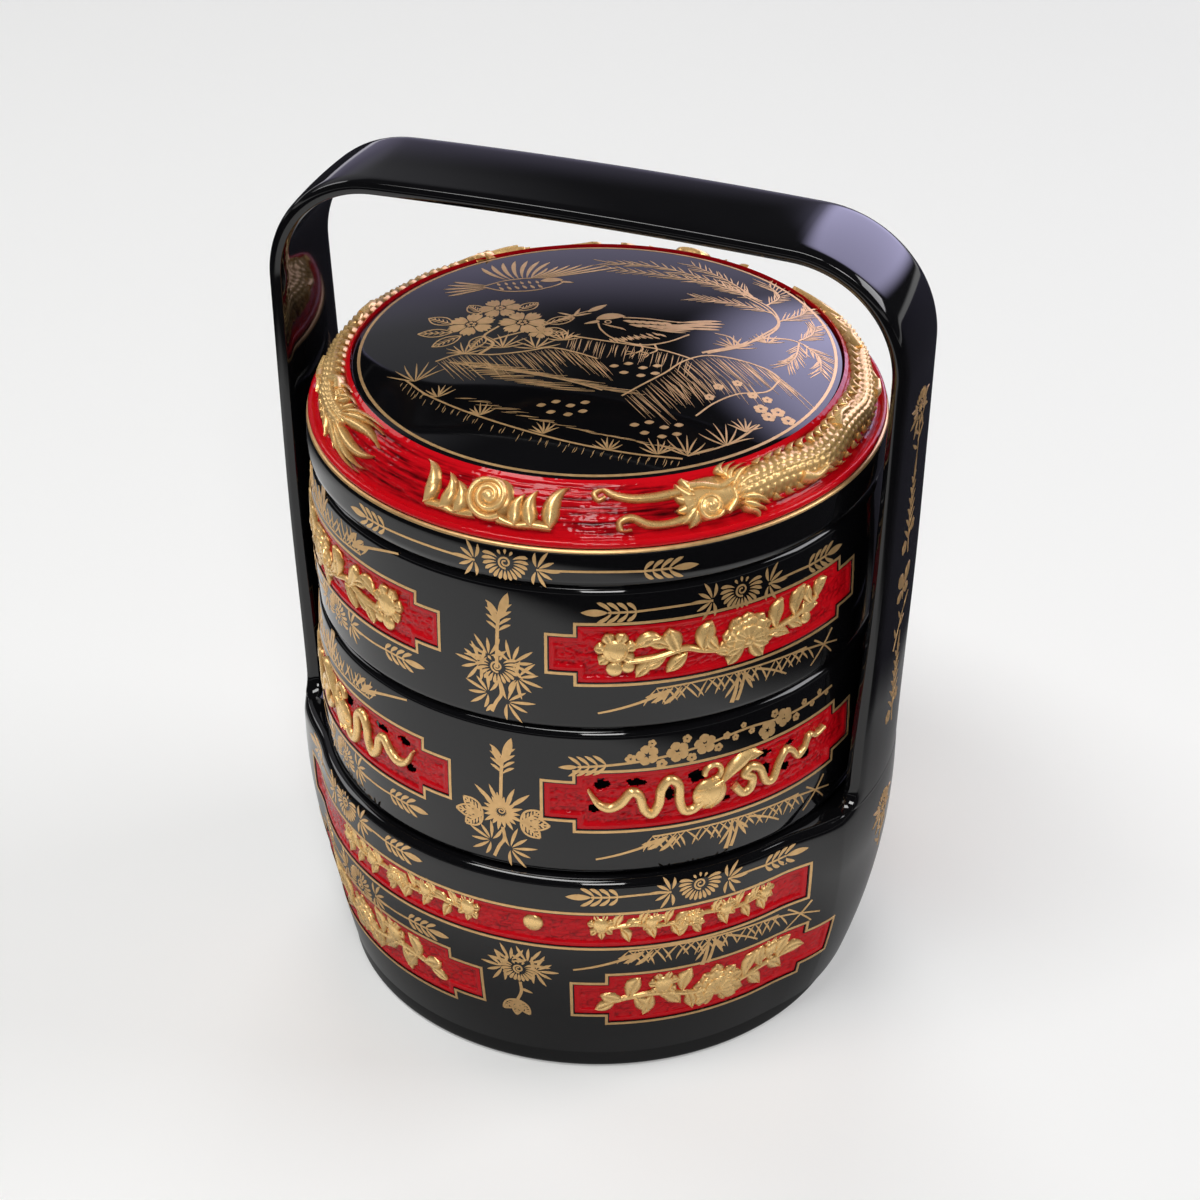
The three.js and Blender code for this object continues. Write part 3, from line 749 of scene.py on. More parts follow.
    make_collar("base", RIM_Z)
    thickness = base_floor_high.z - base_floor_low.z
    make_floor("base", base_floor_low.z, thickness, base_floor_high.x)
    foot = foot_high.x
    profile = [(foot - FOOT_WIDTH, 0.0)]
    profile += arc(foot - FOOT_ROUND, FOOT_ROUND, FOOT_ROUND, -90, 0, 8)
    profile += arc(foot - FOOT_TOP_ROUND, foot_high.z - FOOT_TOP_ROUND, FOOT_TOP_ROUND, 0, 90, 4)
    profile += [(foot - FOOT_WIDTH, foot_high.z)]
    piece("foot_hoop", revolve(profile), "black_lacquer", "base", ["foot_ring"])


def make_lid():
    r = TRAY_RADIUS - LID_BAND_SWELL
    profile = [(INNER_RADIUS - LEDGE, band_low.z)]
    profile += arc(r - LID_BAND_ROUND, band_low.z + LID_BAND_ROUND, LID_BAND_ROUND, -90, 0, 8)[:-1]
    side = ladder(band_low.z + LID_BAND_ROUND, band_high.z - LID_TOP_ROUND, [], BAND_LEVEL)
    profile += [(lid_band_radius(0, z), z) for z in side]
    profile += arc(r - LID_TOP_ROUND, band_high.z - LID_TOP_ROUND, LID_TOP_ROUND, 0, 90, 5)[1:]
    profile += [(INNER_RADIUS - LEDGE, band_high.z)]
    piece("lid_hoop", revolve(profile), "black_lacquer", "lid", ["lid_band"])

    edge = DOME_EDGE_ROUND
    under_edge = shares(DOME_STEPS)[-2:0:-1]
    top = [(DOME_RADIUS * t, DOME_EDGE_Z + DOME_RISE * (1 - t * t)) for t in under_edge]
    under = [(r, z - DOME_THICKNESS) for r, z in reversed(top)]
    profile = [(AXIS, dome_high.z - DOME_THICKNESS)] + under[:-2] + [(DOME_RADIUS, dome_low.z)]
    profile += arc(DOME_RADIUS - edge, DOME_EDGE_Z - edge, edge, 0, 75, 5)
    profile += top + [(AXIS, dome_high.z)]
    piece("lid_dome_board", revolve(profile), "black_lacquer", "lid", ["lid_dome"])


# Drawing: every stroke, leaf, petal and body is a narrow grid laid along a line
PAINT = 0.1                  # gold paint stands this far out of the lacquer
PAINT_BODY = 0.25
GILT_FOOT = -1.45            # gilt relief starts in the carved ground
THINNEST = 0.08
hand = random.Random(5)


def polar(at, degrees, reach):
    a = math.radians(degrees)
    return Vector((at[0] + reach * math.cos(a), at[1] + reach * math.sin(a)))


def bow(start, end, sag=0.0, count=8):
    """Points of a shallow curve that bulges to its left by sag."""
    a, b = Vector(start), Vector(end)
    side = Vector((a.y - b.y, b.x - a.x)).normalized() * sag
    return [a.lerp(b, t) + side * (4 * t * (1 - t)) for t in shares(count)]


def through(points, per=6):
    """A smooth line through given points."""
    marks = [Vector(p) for p in points]
    marks = [marks[0] * 2 - marks[1]] + marks + [marks[-1] * 2 - marks[-2]]
    line = []
    for a, b, c, d in zip(marks, marks[1:], marks[2:], marks[3:]):
        for t in shares(per)[:-1]:
            bend = (a * 2 - b * 5 + c * 4 - d) * (t * t) + (b * 3 - a - c * 3 + d) * t ** 3
            line.append((b * 2 + (c - a) * t + bend) * 0.5)
    return line + [marks[-2]]


def curl(at, start, turns, first, last, count=20):
    """A spiral about a place; start in degrees, turns may be negative."""
    return [polar(at, start + 360 * turns * t, mix(first, last, t)) for t in shares(count)]


def even(width):
    return lambda s: width


def taper(width, peak=0.42):
    """Widest at the peak and drawn to a point at both ends."""
    def at(s):
        t = s / peak if s < peak else (1 - s) / (1 - peak)
        return width * math.sin(math.pi / 2 * max(0.0, t)) ** 0.8
    return at


def running_out(first, last=THINNEST):
    return lambda s: mix(first, last, s)


def flat(s, t):
    return 0.0


def domed(rise, lift=0.0):
    return lambda s, t: lift + rise * (1 - t * t)


def ribbed(rise, lift=0.0):
    """A leaf with a groove along its middle and turned-up sides."""
    return lambda s, t: lift + rise * (1 - t * t) - 0.55 * rise * math.exp(-(t / 0.2) ** 2)


def brush(bm, line, width, shape=flat, across=2):
    """A stroke along a line: its width follows the line, its section follows the shape."""
    count = len(line) - 1
    for v in bmesh.ops.create_grid(bm, x_segments=count, y_segments=across, size=0.5)["verts"]:
        i = round((v.co.x + 0.5) * count)
        t = v.co.y * 2
        ahead = (line[min(count, i + 1)] - line[max(0, i - 1)]).normalized()
        reach = t * max(THINNEST, width(i / count)) / 2
        v.co = (line[i].x - ahead.y * reach, line[i].y + ahead.x * reach, shape(i / count, t))


def stroke(bm, points, first, last=None):
    """A line through points, even or running from its first width to its last."""
    brush(bm, through(points), even(first) if last is None else running_out(first, last))


def leaf(bm, root, heading, length, width, sag=0.0, shape=flat, across=2, peak=0.42):
    brush(bm, bow(root, polar(root, heading, length), sag), taper(width, peak), shape, across)


def tuft(bm, at, heading, spread, count, reach, width, start=0.6):
    """Leaves fanned about a heading."""
    for i in range(count):
        turn = heading + spread * (i / (count - 1) - 0.5)
        length = reach * (1 - 0.3 * abs(i / (count - 1) - 0.5)) * hand.uniform(0.9, 1.1)
        sag = hand.uniform(-0.06, 0.06) * length
        leaf(bm, polar(at, turn, start), turn, length, width, sag)


def lay(bm, start, place, side=1):
    """Lays the points added since start on their surface; side -1 mirrors them left to right."""
    added = list(bm.verts)[start:]
    for v in added:
        v.co.x *= side
        v.co = place(v.co)
    if side < 0:
        bmesh.ops.reverse_faces(bm, faces=list({f for v in added for f in v.link_faces}))


def paint_on(bm, draw, place):
    """Draws flat strokes a little above a surface."""
    start = len(bm.verts)
    draw(bm)
    for v in list(bm.verts)[start:]:
        v.co.z += PAINT
    lay(bm, start, place)


def painting(name, bm, body):
    """Closes a body's painted strokes and writes them as one piece."""
    bmesh.ops.solidify(bm, geom=bm.faces[:], thickness=PAINT_BODY)
    piece(name, bm, "gold_paint", body)


def skirt(bm, depth, backed=True):
    """Gives raised sheets sides, and a flat back if they are backed."""
    rim = [e for e in bm.edges if e.is_boundary]
    sides = bmesh.ops.extrude_edge_only(bm, edges=rim)["geom"]
    for v in [g for g in sides if isinstance(g, bmesh.types.BMVert)]:
        v.co.z = depth
    if backed:
        edges = [g for g in sides if isinstance(g, bmesh.types.BMEdge)]
        bmesh.ops.holes_fill(bm, edges=edges, sides=0)
    bmesh.ops.recalc_face_normals(bm, faces=bm.faces)


def gilt(name, draw, place, body, side=1, low=-1.1, high=0.35, fuller=1.0):
    """Carved and gilt relief, with painted shade in its hollows that starts below high and is full at low;
    fuller makes it taller.
    """
    bm = bmesh.new()
    hollow_shade = bm.verts.layers.float.new("hollow_shade")
    draw(bm)
    bmesh.ops.scale(bm, vec=(1, fuller, 1), verts=bm.verts)
    for v in bm.verts:
        # painted shade, fuller lower in the relief
        v[hollow_shade] = 1 - smoothstep(v.co.z, low, high)
    skirt(bm, GILT_FOOT)
    lay(bm, 0, place, side)
    piece(name, bm, "gilding", body, sharp=75)


def knob(bm, at, radius, height, lift=-0.6):
    """A rounded boss."""
    made = bmesh.ops.create_uvsphere(bm, u_segments=20, v_segments=10, radius=1.0)["verts"]
    bmesh.ops.scale(bm, vec=(radius, radius, height), verts=made)
    bmesh.ops.translate(bm, vec=(at[0], at[1], lift), verts=made)


# Carved red plates and the gold lines round them
PLATE_STEP = 0.62
PLATE_EASE = 0.15            # play between a plate and its recess, on each side
CARVED_EDGE = (2.0, 3.3)     # the carving starts and is at full depth this far from the edge
# Piercings of the lower tray's plates: place, half width and half height
PIERCINGS = (
    (-52, 8.5, 3.2, 2.4), (-38, 8.5, 4.2, 1.8), (-55, -4, 2.6, 2.4), (-35.5, -1, 1.8, 2.8),
    (-23.5, 0.5, 2.0, 3.4), (-11, 7.5, 4.0, 3.0), (20, 8.5, 4.2, 2.2), (23, 0.5, 2.2, 3.0),
    (36, 8.0, 2.2, 1.8), (33, -3.5, 2.6, 2.2), (46, -2.5, 2.6, 2.4), (2, -7.5, 2.4, 1.8))
PIERCED_NEAR = 1.5           # ragged edges reach no further than this many half widths


def chisel(u, v, seed):
    """Soft lumps with short ridges between cuts, running along a plate; about -1 to 1."""
    wander = 0.5 * noise.noise((u * 0.3, v * 0.3, seed + 5.0))
    near, next_near = noise.voronoi((u * 0.24 + wander, v * 0.5 + wander, seed))[0][:2]
    lump = min(1.0, 2.2 * (next_near - near)) ** 0.7
    long = noise.noise((u * 0.1, v * 0.4, seed + 9.0))
    return 1.1 * lump - 0.7 + 0.5 * long


def is_pierced(at, holes, side, seed):
    """Whether a place on a plate falls in one of its piercings, which have ragged edges."""
    for x, y, wide, tall in holes:
        across, up = (side * at.x - x) / wide, (at.y - y) / tall
        if abs(across) < PIERCED_NEAR and abs(up) < PIERCED_NEAR:
            ragged = 0.5 * noise.noise((at.x * 0.5, at.y * 0.5, seed + 4.0))
            return math.hypot(across, up) + ragged < 1
    return False


def make_plate(node, body, panel, phi, z, radius, holes, side, seed):
    """A red plate with a smooth edge and a furrowed ground; holes pierce it."""
    bm = bmesh.new()
    hollow_shade = bm.verts.layers.float.new("hollow_shade")
    length = panel.main + 2 * panel.tab - 2 * PLATE_EASE
    height = panel.height - 2 * PLATE_EASE
    cells = (round(length / PLATE_STEP), round(height / PLATE_STEP))
    bmesh.ops.create_grid(bm, x_segments=cells[0], y_segments=cells[1], size=0.5)
    bmesh.ops.scale(bm, vec=(length, height, 1), verts=bm.verts)
    if panel.tab:
        x, y = panel.main / 2 - PLATE_EASE, panel.tab_height / 2 - PLATE_EASE
        for spot, normal in (((x, 0, 0), (1, 0, 0)), ((-x, 0, 0), (1, 0, 0)),
                             ((0, y, 0), (0, 1, 0)), ((0, -y, 0), (0, 1, 0))):
            geom = bm.verts[:] + bm.edges[:] + bm.faces[:]
            bmesh.ops.bisect_plane(bm, geom=geom, plane_co=spot, plane_no=normal)
        middles = [(f, f.calc_center_median()) for f in bm.faces]
        corners = [f for f, c in middles if abs(c.x) > x and abs(c.y) > y]
        bmesh.ops.delete(bm, geom=corners, context="FACES")
    pierced = [f for f in bm.faces if is_pierced(f.calc_center_median(), holes, side, seed)]
    bmesh.ops.delete(bm, geom=pierced, context="FACES")
    for v in bm.verts:
        u, h = v.co.x, v.co.y
        carved = smoothstep(panel.inside(u, h), *CARVED_EDGE)
        furrow = chisel(u, h, seed)
        v.co.z = mix(-PLATE_LIP, -GROUND + 0.45 * furrow, carved)
        # painted shade, deeper in the carved furrows
        v[hollow_shade] = 0.7 * carved * smoothstep(-furrow, 0.1, 1.0)
    skirt(bm, -PLATE_BACK, not holes)
    lay(bm, 0, on_wall(phi, z, radius))
    piece(f"{node}_carving", bm, "red_lacquer", body, [node], sharp=80)


FRAME_STEP = 2.5             # points of a gold frame are about this far apart


def gold_frame(bm, panel):
    """A line round a panel, set off from the red by a black line."""
    off = GOLD_LINE_GAP + GOLD_LINE
    x, y = panel.main / 2 + off, panel.height / 2 + off
    far, near = x + panel.tab, panel.tab_height / 2 + off
    corners = [(x, y), (-x, y), (-x, -y), (x, -y)]
    if panel.tab:
        corners = [(x, y), (-x, y), (-x, near), (-far, near), (-far, -near), (-x, -near),
                   (-x, -y), (x, -y), (x, -near), (far, -near), (far, near), (x, near)]
    verts = [bm.verts.new((u, v, 0)) for u, v in corners]
    edges = [bm.edges.new(pair) for pair in zip(verts, verts[1:] + verts[:1])]
    long = [e for e in edges if e.calc_length() > 2 * FRAME_STEP]
    border = list(edges)
    for e in long:
        cuts = round(e.calc_length() / FRAME_STEP)
        split = bmesh.ops.subdivide_edges(bm, edges=[e], cuts=cuts)["geom_split"]
        border += [g for g in split if isinstance(g, bmesh.types.BMEdge)]
    face = bmesh.ops.contextual_create(bm, geom=list(set(border)))["faces"]
    for f in face:
        f.normal_update()
        if f.normal.z < 0:
            f.normal_flip()
    bmesh.ops.inset_region(
        bm, faces=face, thickness=GOLD_LINE, use_even_offset=True, use_boundary=True)
    bmesh.ops.delete(bm, geom=face, context="FACES")


def gold_ring(bm, section):
    """A gold line all the way round, from an open section of radius and height."""
    verts = [bm.verts.new(around(0, r, z)) for r, z in section]
    geom = verts + [bm.edges.new(pair) for pair in zip(verts, verts[1:])]
    bmesh.ops.spin(bm, geom=geom, axis=UP, angle=TURN, steps=SEGMENTS, use_merge=True)
    faces = list({f for v in bm.verts for f in v.link_faces})
    bmesh.ops.recalc_face_normals(bm, faces=faces)
    for f in faces:
        if f.normal.z < 0:
            f.normal_flip()


# Painted motifs, drawn flat about their middle
def chrysanthemum(bm, at, radius, lean):
    """A flower from the side: a spiral heart over a fan of club-ended petals."""
    brush(bm, curl(at, lean + 150, 1.6, radius * 0.08, radius * 0.38, 30), running_out(0.6, 0.9))
    for i in range(15):
        off = i - 7
        heading = lean + off * 17
        reach = radius * (0.62 + 0.22 * abs(off) / 7)
        root = polar(at, heading, radius * 0.5)
        leaf(bm, root, heading - off * 2.5, reach, 1.55, 0.1 * off, peak=0.78)
    for off in (-150, 150, 180):
        leaf(bm, polar(at, lean + off, radius * 0.5), lean + off, radius * 0.3, 1.2, peak=0.7)


def cluster(bm, at, heading, reach=8.0):
    """Narrow leaves spread about the side of a flower."""
    for off, share in ((-100, 0.8), (-66, 1.0), (-34, 0.8), (-4, 1.05), (28, 0.85), (60, 1.05),
                       (94, 0.8)):
        turn = heading + off
        leaf(bm, polar(at, turn, 1.2), turn, reach * share, 1.5, 0.006 * off, peak=0.55)


def arrow(bm, root, heading, length):
    """A bud at the end of a stem, with club-ended barbs along its shaft."""
    neck = polar(root, heading, length * 0.52)
    brush(bm, bow(root, neck, 0.0, 8), even(1.0))
    leaf(bm, neck, heading, length * 0.5, 3.2, peak=0.5)
    for side in (1, -1):
        for i in range(4):
            at = polar(root, heading, length * 0.15 * i)
            turn = heading + side * (46 - 3 * i)
            leaf(bm, at, turn, length * (0.26 + 0.03 * i), 1.7, side * 0.7, peak=0.7)


def garland(bm, left, right):
    """A chrysanthemum between leaves, with a long budded stem to each side."""
    chrysanthemum(bm, (0, 1.6), 7.6, -90)
    for side, reach in ((-1, left), (1, right)):
        heading = 90 - 90 * side
        cluster(bm, (side * 13, 0.2), heading)
        root = (side * (reach - 22), 0)
        brush(bm, bow((side * 13, 0), root, side * 0.5, 18), even(1.0))
        arrow(bm, root, heading, 22)


def pine(bm):
    """A pine bough: crossed needles under it, a hanging tuft and long stalks."""
    line = through([(-34, 2.4), (-12, 3.0), (12, 2.4), (38, 0.6)])
    brush(bm, line, even(0.9))
    for i in range(17):
        at = line[round(i / 16 * (len(line) - 1))]
        leaf(bm, at, -58 + hand.uniform(-9, 9), hand.uniform(8.5, 11.0), 0.95, 0.4, peak=0.6)
        leaf(bm, at, -124 + hand.uniform(-9, 9), hand.uniform(8.0, 10.5), 0.95, -0.4, peak=0.6)
    brush(bm, bow((-28, 1.0), (-58, -8.5), 0.8, 12), running_out(1.5, 0.9))
    for at, turn, reach in (((-27, 1.5), 214, 11), ((-23, 1.5), 224, 11), ((-30, 1.0), 197, 9)):
        leaf(bm, at, turn, reach, 2.0, 0.5, peak=0.7)
    for start, end, sag, count, first, last in (
            ((10, 1.5), (27, -8.0), 0.8, 12, 1.2, 0.8), ((30, 1.0), (60, -7.0), 0.8, 14, 1.1, 0.7),
            ((55, 2.0), (42, -11.0), 0.6, 10, 1.1, 0.7), ((43, 1.5), (56, -10.5), 0.6, 10, 0.9, 0.7),
            ((2, 2.5), (-0.5, -12.5), 0.6, 10, 1.0, 2.2), ((5, 2.5), (2.0, -12.0), 0.6, 10, 1.0, 1.8)):
        brush(bm, bow(start, end, sag, count), running_out(first, last))
    for turn, reach in ((-58, 12), (-122, 13), (-44, 10)):
        leaf(bm, (3, 2.0), turn, reach, 1.4, 0.4, peak=0.7)


def blossom(bm, at, radius, lean=90):
    for i in range(5):
        turn = lean + 72 * i
        leaf(bm, polar(at, turn, radius * 0.16), turn, radius * 0.9, radius * 0.92, peak=0.64)


def plum(bm):
    """A plum branch with open flowers, buds and twigs."""
    stroke(bm, [(-62, -4.2), (-46, -3.0), (-30, -1.5), (-8, 1.2), (12, 3.6), (34, 1.6), (62, 2.2)], 1.1)
    for x, y, r in ((-33, 0.6, 4.8), (-20, 0.4, 4.8), (-8, 1.6, 4.8), (22, -1.2, 4.4), (31, 1.6, 4.4)):
        blossom(bm, (x, y), r, 90 + 17 * x)
    for x, y, r in (
            (-40, -0.6, 2.4), (-31, 6.2, 1.8), (-27, -4.4, 2.4), (-16, 6.0, 2.0), (-14, -3.6, 2.2),
            (-2, -1.6, 2.0), (2, 3.0, 1.8), (6, 1.0, 1.6), (10, 5.6, 1.4), (14, 1.6, 1.6), (26, 5.4, 2.0),
            (38, -1.4, 2.0), (43, 3.6, 1.6), (48, 0.6, 1.5), (53, 3.8, 1.4), (58, 1.0, 1.3)):
        blossom(bm, (x, y), r, 40 + 20 * x)
    for i in range(4):
        root = (-50 - 3.4 * i, -3.2 - 0.3 * i)
        for side in (1, -1):
            leaf(bm, root, 180 + side * 40, 7.5, 1.5, side * 0.5, peak=0.6)
    leaf(bm, (-62, -4.2), 184, 8, 2.2)


def veined_leaf(bm, root, heading, length, width):
    """A broad painted leaf with its veins drawn."""
    tip = polar(root, heading, length)
    for side in (1, -1):
        brush(bm, bow(root, tip, side * width / 2, 10), even(0.95))
        for i in range(4):
            start = Vector(root).lerp(tip, 0.14 + 0.18 * i)
            leaf(bm, start, heading + side * 42, width * (0.62 - 0.07 * i), 1.0)
    brush(bm, bow(root, tip), even(0.8))


def bud_stem(bm, low, high):
    """An upright stem that ends in a broad bud with barbs."""
    stroke(bm, [(0.6, high - 9), (0.0, (low + high) / 2), (-0.6, low)], 1.5)
    leaf(bm, (0.6, high - 13), 74, 14, 3.9, peak=0.55)
    leaf(bm, (0.4, high - 14), 118, 10, 2.6, peak=0.5)
    for i in range(4):
        root = (0.5, high - 18 + 2.6 * i)
        for side in (1, -1):
            leaf(bm, root, 90 - side * (54 - 3 * i), 6.5 + 0.5 * i, 1.4, side * 0.5, peak=0.6)


def upper_sprig(bm):
    """A tall budded stem over a shell flower among clusters of narrow leaves."""
    bud_stem(bm, 0, 36)
    chrysanthemum(bm, (-0.6, 0.5), 7.4, -82)
    for at, heading in (((-8, 0.5), 176), ((8, -3.5), -14), ((-4, 5), 128), ((6, 3.5), 42)):
        cluster(bm, at, heading, 9.5)
    stroke(bm, [(0.6, -7), (1.0, -13), (-1.6, -18), (-3.6, -23)], 1.5)
    cluster(bm, (-4.6, -13.5), 160, 9.5)
    cluster(bm, (3.4, -16.5), 8, 10.5)
    leaf(bm, (-2.6, -19), -128, 6, 1.8)


def lower_sprig(bm):
    """A budded stem over a pointed flower set between broad veined leaves."""
    bud_stem(bm, 4, 38)
    for i in range(18):
        turn = 20 * i
        leaf(bm, polar((-0.4, 0), turn, 1.9), turn, 8.2 if i % 2 else 6.4, 1.9)
    brush(bm, curl((-0.4, 0.6), 0, 1.4, 0.5, 1.8, 20), even(0.6))
    for side in (1, -1):
        for heading, reach in ((90 - side * 52, 11), (90 - side * 92, 12.5), (90 - side * 132, 11)):
            veined_leaf(bm, (side * 8.6 - 0.4, -3.4), heading, reach, 6.4)
        leaf(bm, (side * 4, 4), 90 - side * 48, 11, 2.0)
        leaf(bm, (side * 2, 5), 90 - side * 24, 9, 1.8)
    stroke(bm, [(0, -8), (0.6, -14), (-2.0, -19), (-4.4, -25)], 1.5)
    cluster(bm, (-5.4, -16.5), 156, 9.5)
    cluster(bm, (3.0, -19.0), 12, 10.5)


def base_sprig(bm):
    """A short flower among clusters of leaves on a three-lobed foot."""
    chrysanthemum(bm, (0, 1.0), 6.6, -90)
    for at, heading in (((-7, 0.6), 178), ((7.5, 1.4), 4), ((-3.6, 5), 118), ((4.4, 5.4), 58)):
        cluster(bm, at, heading, 8.8)
    stroke(bm, [(0.4, -7), (0.6, -13), (-1.6, -19)], 1.4)
    leaf(bm, (0.2, -11), -20, 6, 1.6)
    for turn in (-58, -96, -136):
        veined_leaf(bm, (-1.6, -19), turn, 10, 4.6)


def leg_flower(bm):
    chrysanthemum(bm, (0, 0), 7.5, 90)
    for turn in (-20, 15, 165, 200, -60, 240):
        leaf(bm, polar((0, 0), turn, 5), turn, 9, 2.0, 0.4)
    brush(bm, bow((0, -5), (1.5, -24), 1.0), running_out(0.9, 0.5))
    for at, turn in ((-10, 40), (-13, 140), (-17, 35), (-20, 145)):
        leaf(bm, (0.8, at), turn, 9, 1.7, 0.4)


def leg_butterfly(bm):
    """A butterfly over a leaning twig."""
    for side in (1, -1):
        leaf(bm, (side * 0.8, 4), 90 - side * 42, 11, 6.5, peak=0.66)
        leaf(bm, (side * 0.8, 2), 90 - side * 108, 8, 5.0, peak=0.6)
        brush(bm, bow((side * 0.4, 6), (side * 3.5, 12), side * 0.6), even(0.4))
    leaf(bm, (0, -3), 90, 10, 1.6)
    stroke(bm, [(-7, -26), (-2, -18), (2, -12), (8, -8)], 1.0, 0.4)
    for at, turn in (((-4, -21), 120), ((-1, -17), 20), ((1, -13), 130), ((5, -10), 40)):
        leaf(bm, at, turn, 8, 1.8, 0.4)


def leg_spray(bm):
    stroke(bm, [(2, -26), (0, -14), (-1, 0), (1, 14)], 1.0, 0.5)
    leaf(bm, (0.6, 11), 84, 11, 2.4)
    for i in range(6):
        for side in (1, -1):
            leaf(bm, (0, -18 + 5.4 * i), 90 - side * (44 - 2 * i), 10 - 0.8 * i, 1.8, side * 0.5)
    blossom(bm, (-5, -20), 3.2)
    blossom(bm, (6, -14), 2.8)


# Gilt relief, drawn flat; heights run from the carved ground to just above the wall
# Tiers of a peony: petals, spread, reach, width and lift
PEONY_TIERS = ((9, 280, 1.0, 0.62, -0.9), (8, 230, 0.78, 0.55, -0.3), (6, 190, 0.52, 0.48, 0.25))


def peony(bm, at, radius):
    """A full flower seen from the side: tiers of ruffled petals that rise from its foot."""
    for count, spread, reach, width, lift in PEONY_TIERS:
        for i in range(count):
            turn = 90 + spread * (i / (count - 1) - 0.5) + hand.uniform(-5, 5)
            length = radius * reach * hand.uniform(0.92, 1.08)
            root = polar(at, turn, radius * 0.08)
            leaf(bm, root, turn, length, radius * width, 0.0, ribbed(1.15, lift), 8, 0.74)
    knob(bm, at, radius * 0.2, 0.8, 0.3)


def carved_leaf(bm, root, heading, length, width):
    leaf(bm, root, heading, length * 1.08, width * 1.25, 0.8, ribbed(1.9, -0.95), 8, 0.56)


def stalk(bm, points, width=2.6):
    brush(bm, through(points, 8), running_out(width * 1.25, width), domed(1.6, -1.0), 6)


def rose(bm, at, radius):
    """A round bud over short cupped petals."""
    for i in range(7):
        turn = 360 * i / 7 + 15
        root = polar(at, turn, radius * 0.45)
        leaf(bm, root, turn, radius * 0.8, radius * 0.85, 0.0, ribbed(1.5, -0.95), 8, 0.62)
    knob(bm, at, radius * 0.76, 1.9, -0.45)
    brush(bm, curl(at, 80, 0.8, radius * 0.2, radius * 0.58, 24), taper(1.3), domed(0.5, 0.8), 4)


def flower_branch(bm):
    """A branch along a panel: a round flower, broad leaves, a peony and a bud."""
    stalk(bm, [(-42, -4), (-30, -3), (-18, -0.5), (-8, -3.5), (8, -6), (22, -3.5), (36, -1),
               (48, 3)])
    rose(bm, (-46.5, 1.6), 7.2)
    knob(bm, (-47, -7.0), 3.6, 1.5)
    knob(bm, (-41.5, -6.4), 2.8, 1.4)
    for root, turn, reach, width in (
            ((-39, 3), 20, 11, 6.0), ((-34, 4.5), -15, 9, 5.4), ((-33, -3), 236, 9, 5.6),
            ((-26, -2.4), 205, 10, 5.6), ((-20, -2), 110, 12, 7.4), ((-17, -2), 222, 11, 5.8),
            ((-10, -3), 74, 13, 7.6), ((-6, -4), -24, 9, 4.4), ((-3, -4), 122, 9, 5.6),
            ((20, -4), -16, 11, 5.0), ((24, -2.4), 76, 13, 6.6), ((30, -2), -30, 9, 5.4),
            ((34, 0), 66, 13, 6.4), ((38, -1), 8, 9, 6.6), ((44, 1.5), 100, 9, 4.6),
            ((47, 3), 50, 9, 5.6)):
        carved_leaf(bm, root, turn, reach, width)
    peony(bm, (10.5, -3.0), 12.6)
    knob(bm, (41, -4.4), 3.0, 1.6)


def ribbon_gourd(bm):
    """A long ribbon wound about a gourd."""
    def ribbon(s, t):
        return -0.8 + 1.75 * (1 - t ** 4)

    first = [(-58, 6), (-54, -1), (-49, -3.5), (-44, -1), (-40, 4), (-36.5, 2), (-34.5, -5), (-31, -8),
             (-28, -3), (-27, 4), (-23.5, 8.4), (-19.5, 5), (-19, -3), (-17, -8.6), (-12.5, -8.6),
             (-8, -4)]
    brush(bm, through(first, 8), lambda s: mix(1.0, 4.3, min(1.0, s * 9)), ribbon, 8)
    second = [(6, -2), (10, -7), (14, -6), (15, -1), (11, 2), (14, 5), (19, 2), (22, -5.5), (26, -6),
              (29, 1), (33, 6), (37, 3.5), (40, -0.5), (44, 2), (47, 7), (51, 5), (57, 6)]
    brush(bm, through(second, 8), lambda s: mix(4.2, 2.0, s * s), ribbon, 8)
    brush(bm, curl((-4, 8), -100, 0.8, 3.6, 3.8, 30), even(2.6), domed(1.3, -0.6), 6)
    knob(bm, (-5.5, -2.5), 8.0, 2.1, -0.8)
    for i in range(5):
        rib = bow((0.5, 4), polar((-5.5, -2.5), 150 + 30 * i, 7.0), 1.2, 10)
        brush(bm, rib, taper(1.0), domed(0.35, 0.75), 4)
    leaf(bm, (-1, 2), 36, 21, 8.2, 0.6, domed(2.4, -0.7), 8, 0.62)
    leaf(bm, (12, 9.4), 8, 8, 4.6, 0.4, ribbed(1.6, -0.8), 8)


def band_spray(bm):
    """A trailing spray for the band under the rim, about its middle."""
    stalk(bm, [(-40, -1.5), (-24, 0.5), (-8, -1.0), (8, 1.0), (24, -0.5), (40, 1.5)], 2.0)
    for x in (-31, -20, -9, 13, 24, 32):
        y = 0.4 * math.sin(x * 0.25)
        carved_leaf(bm, (x, y), 62, 7.2, 4.4)
        carved_leaf(bm, (x + 2, y), -58, 7.2, 4.4)
        carved_leaf(bm, (x + 4, y), 20, 7.2, 3.8)
    peony(bm, (2, -1.6), 7.0)
    for x, y, radius in ((-37, 0.6, 4.8), (-15, 1.2, 4.0), (19, 0.4, 4.2), (39, 1.2, 3.8)):
        rose(bm, (x, y), radius)


def band_pearl(bm):
    knob(bm, (0, 0), 4.6, 1.7, -0.9)


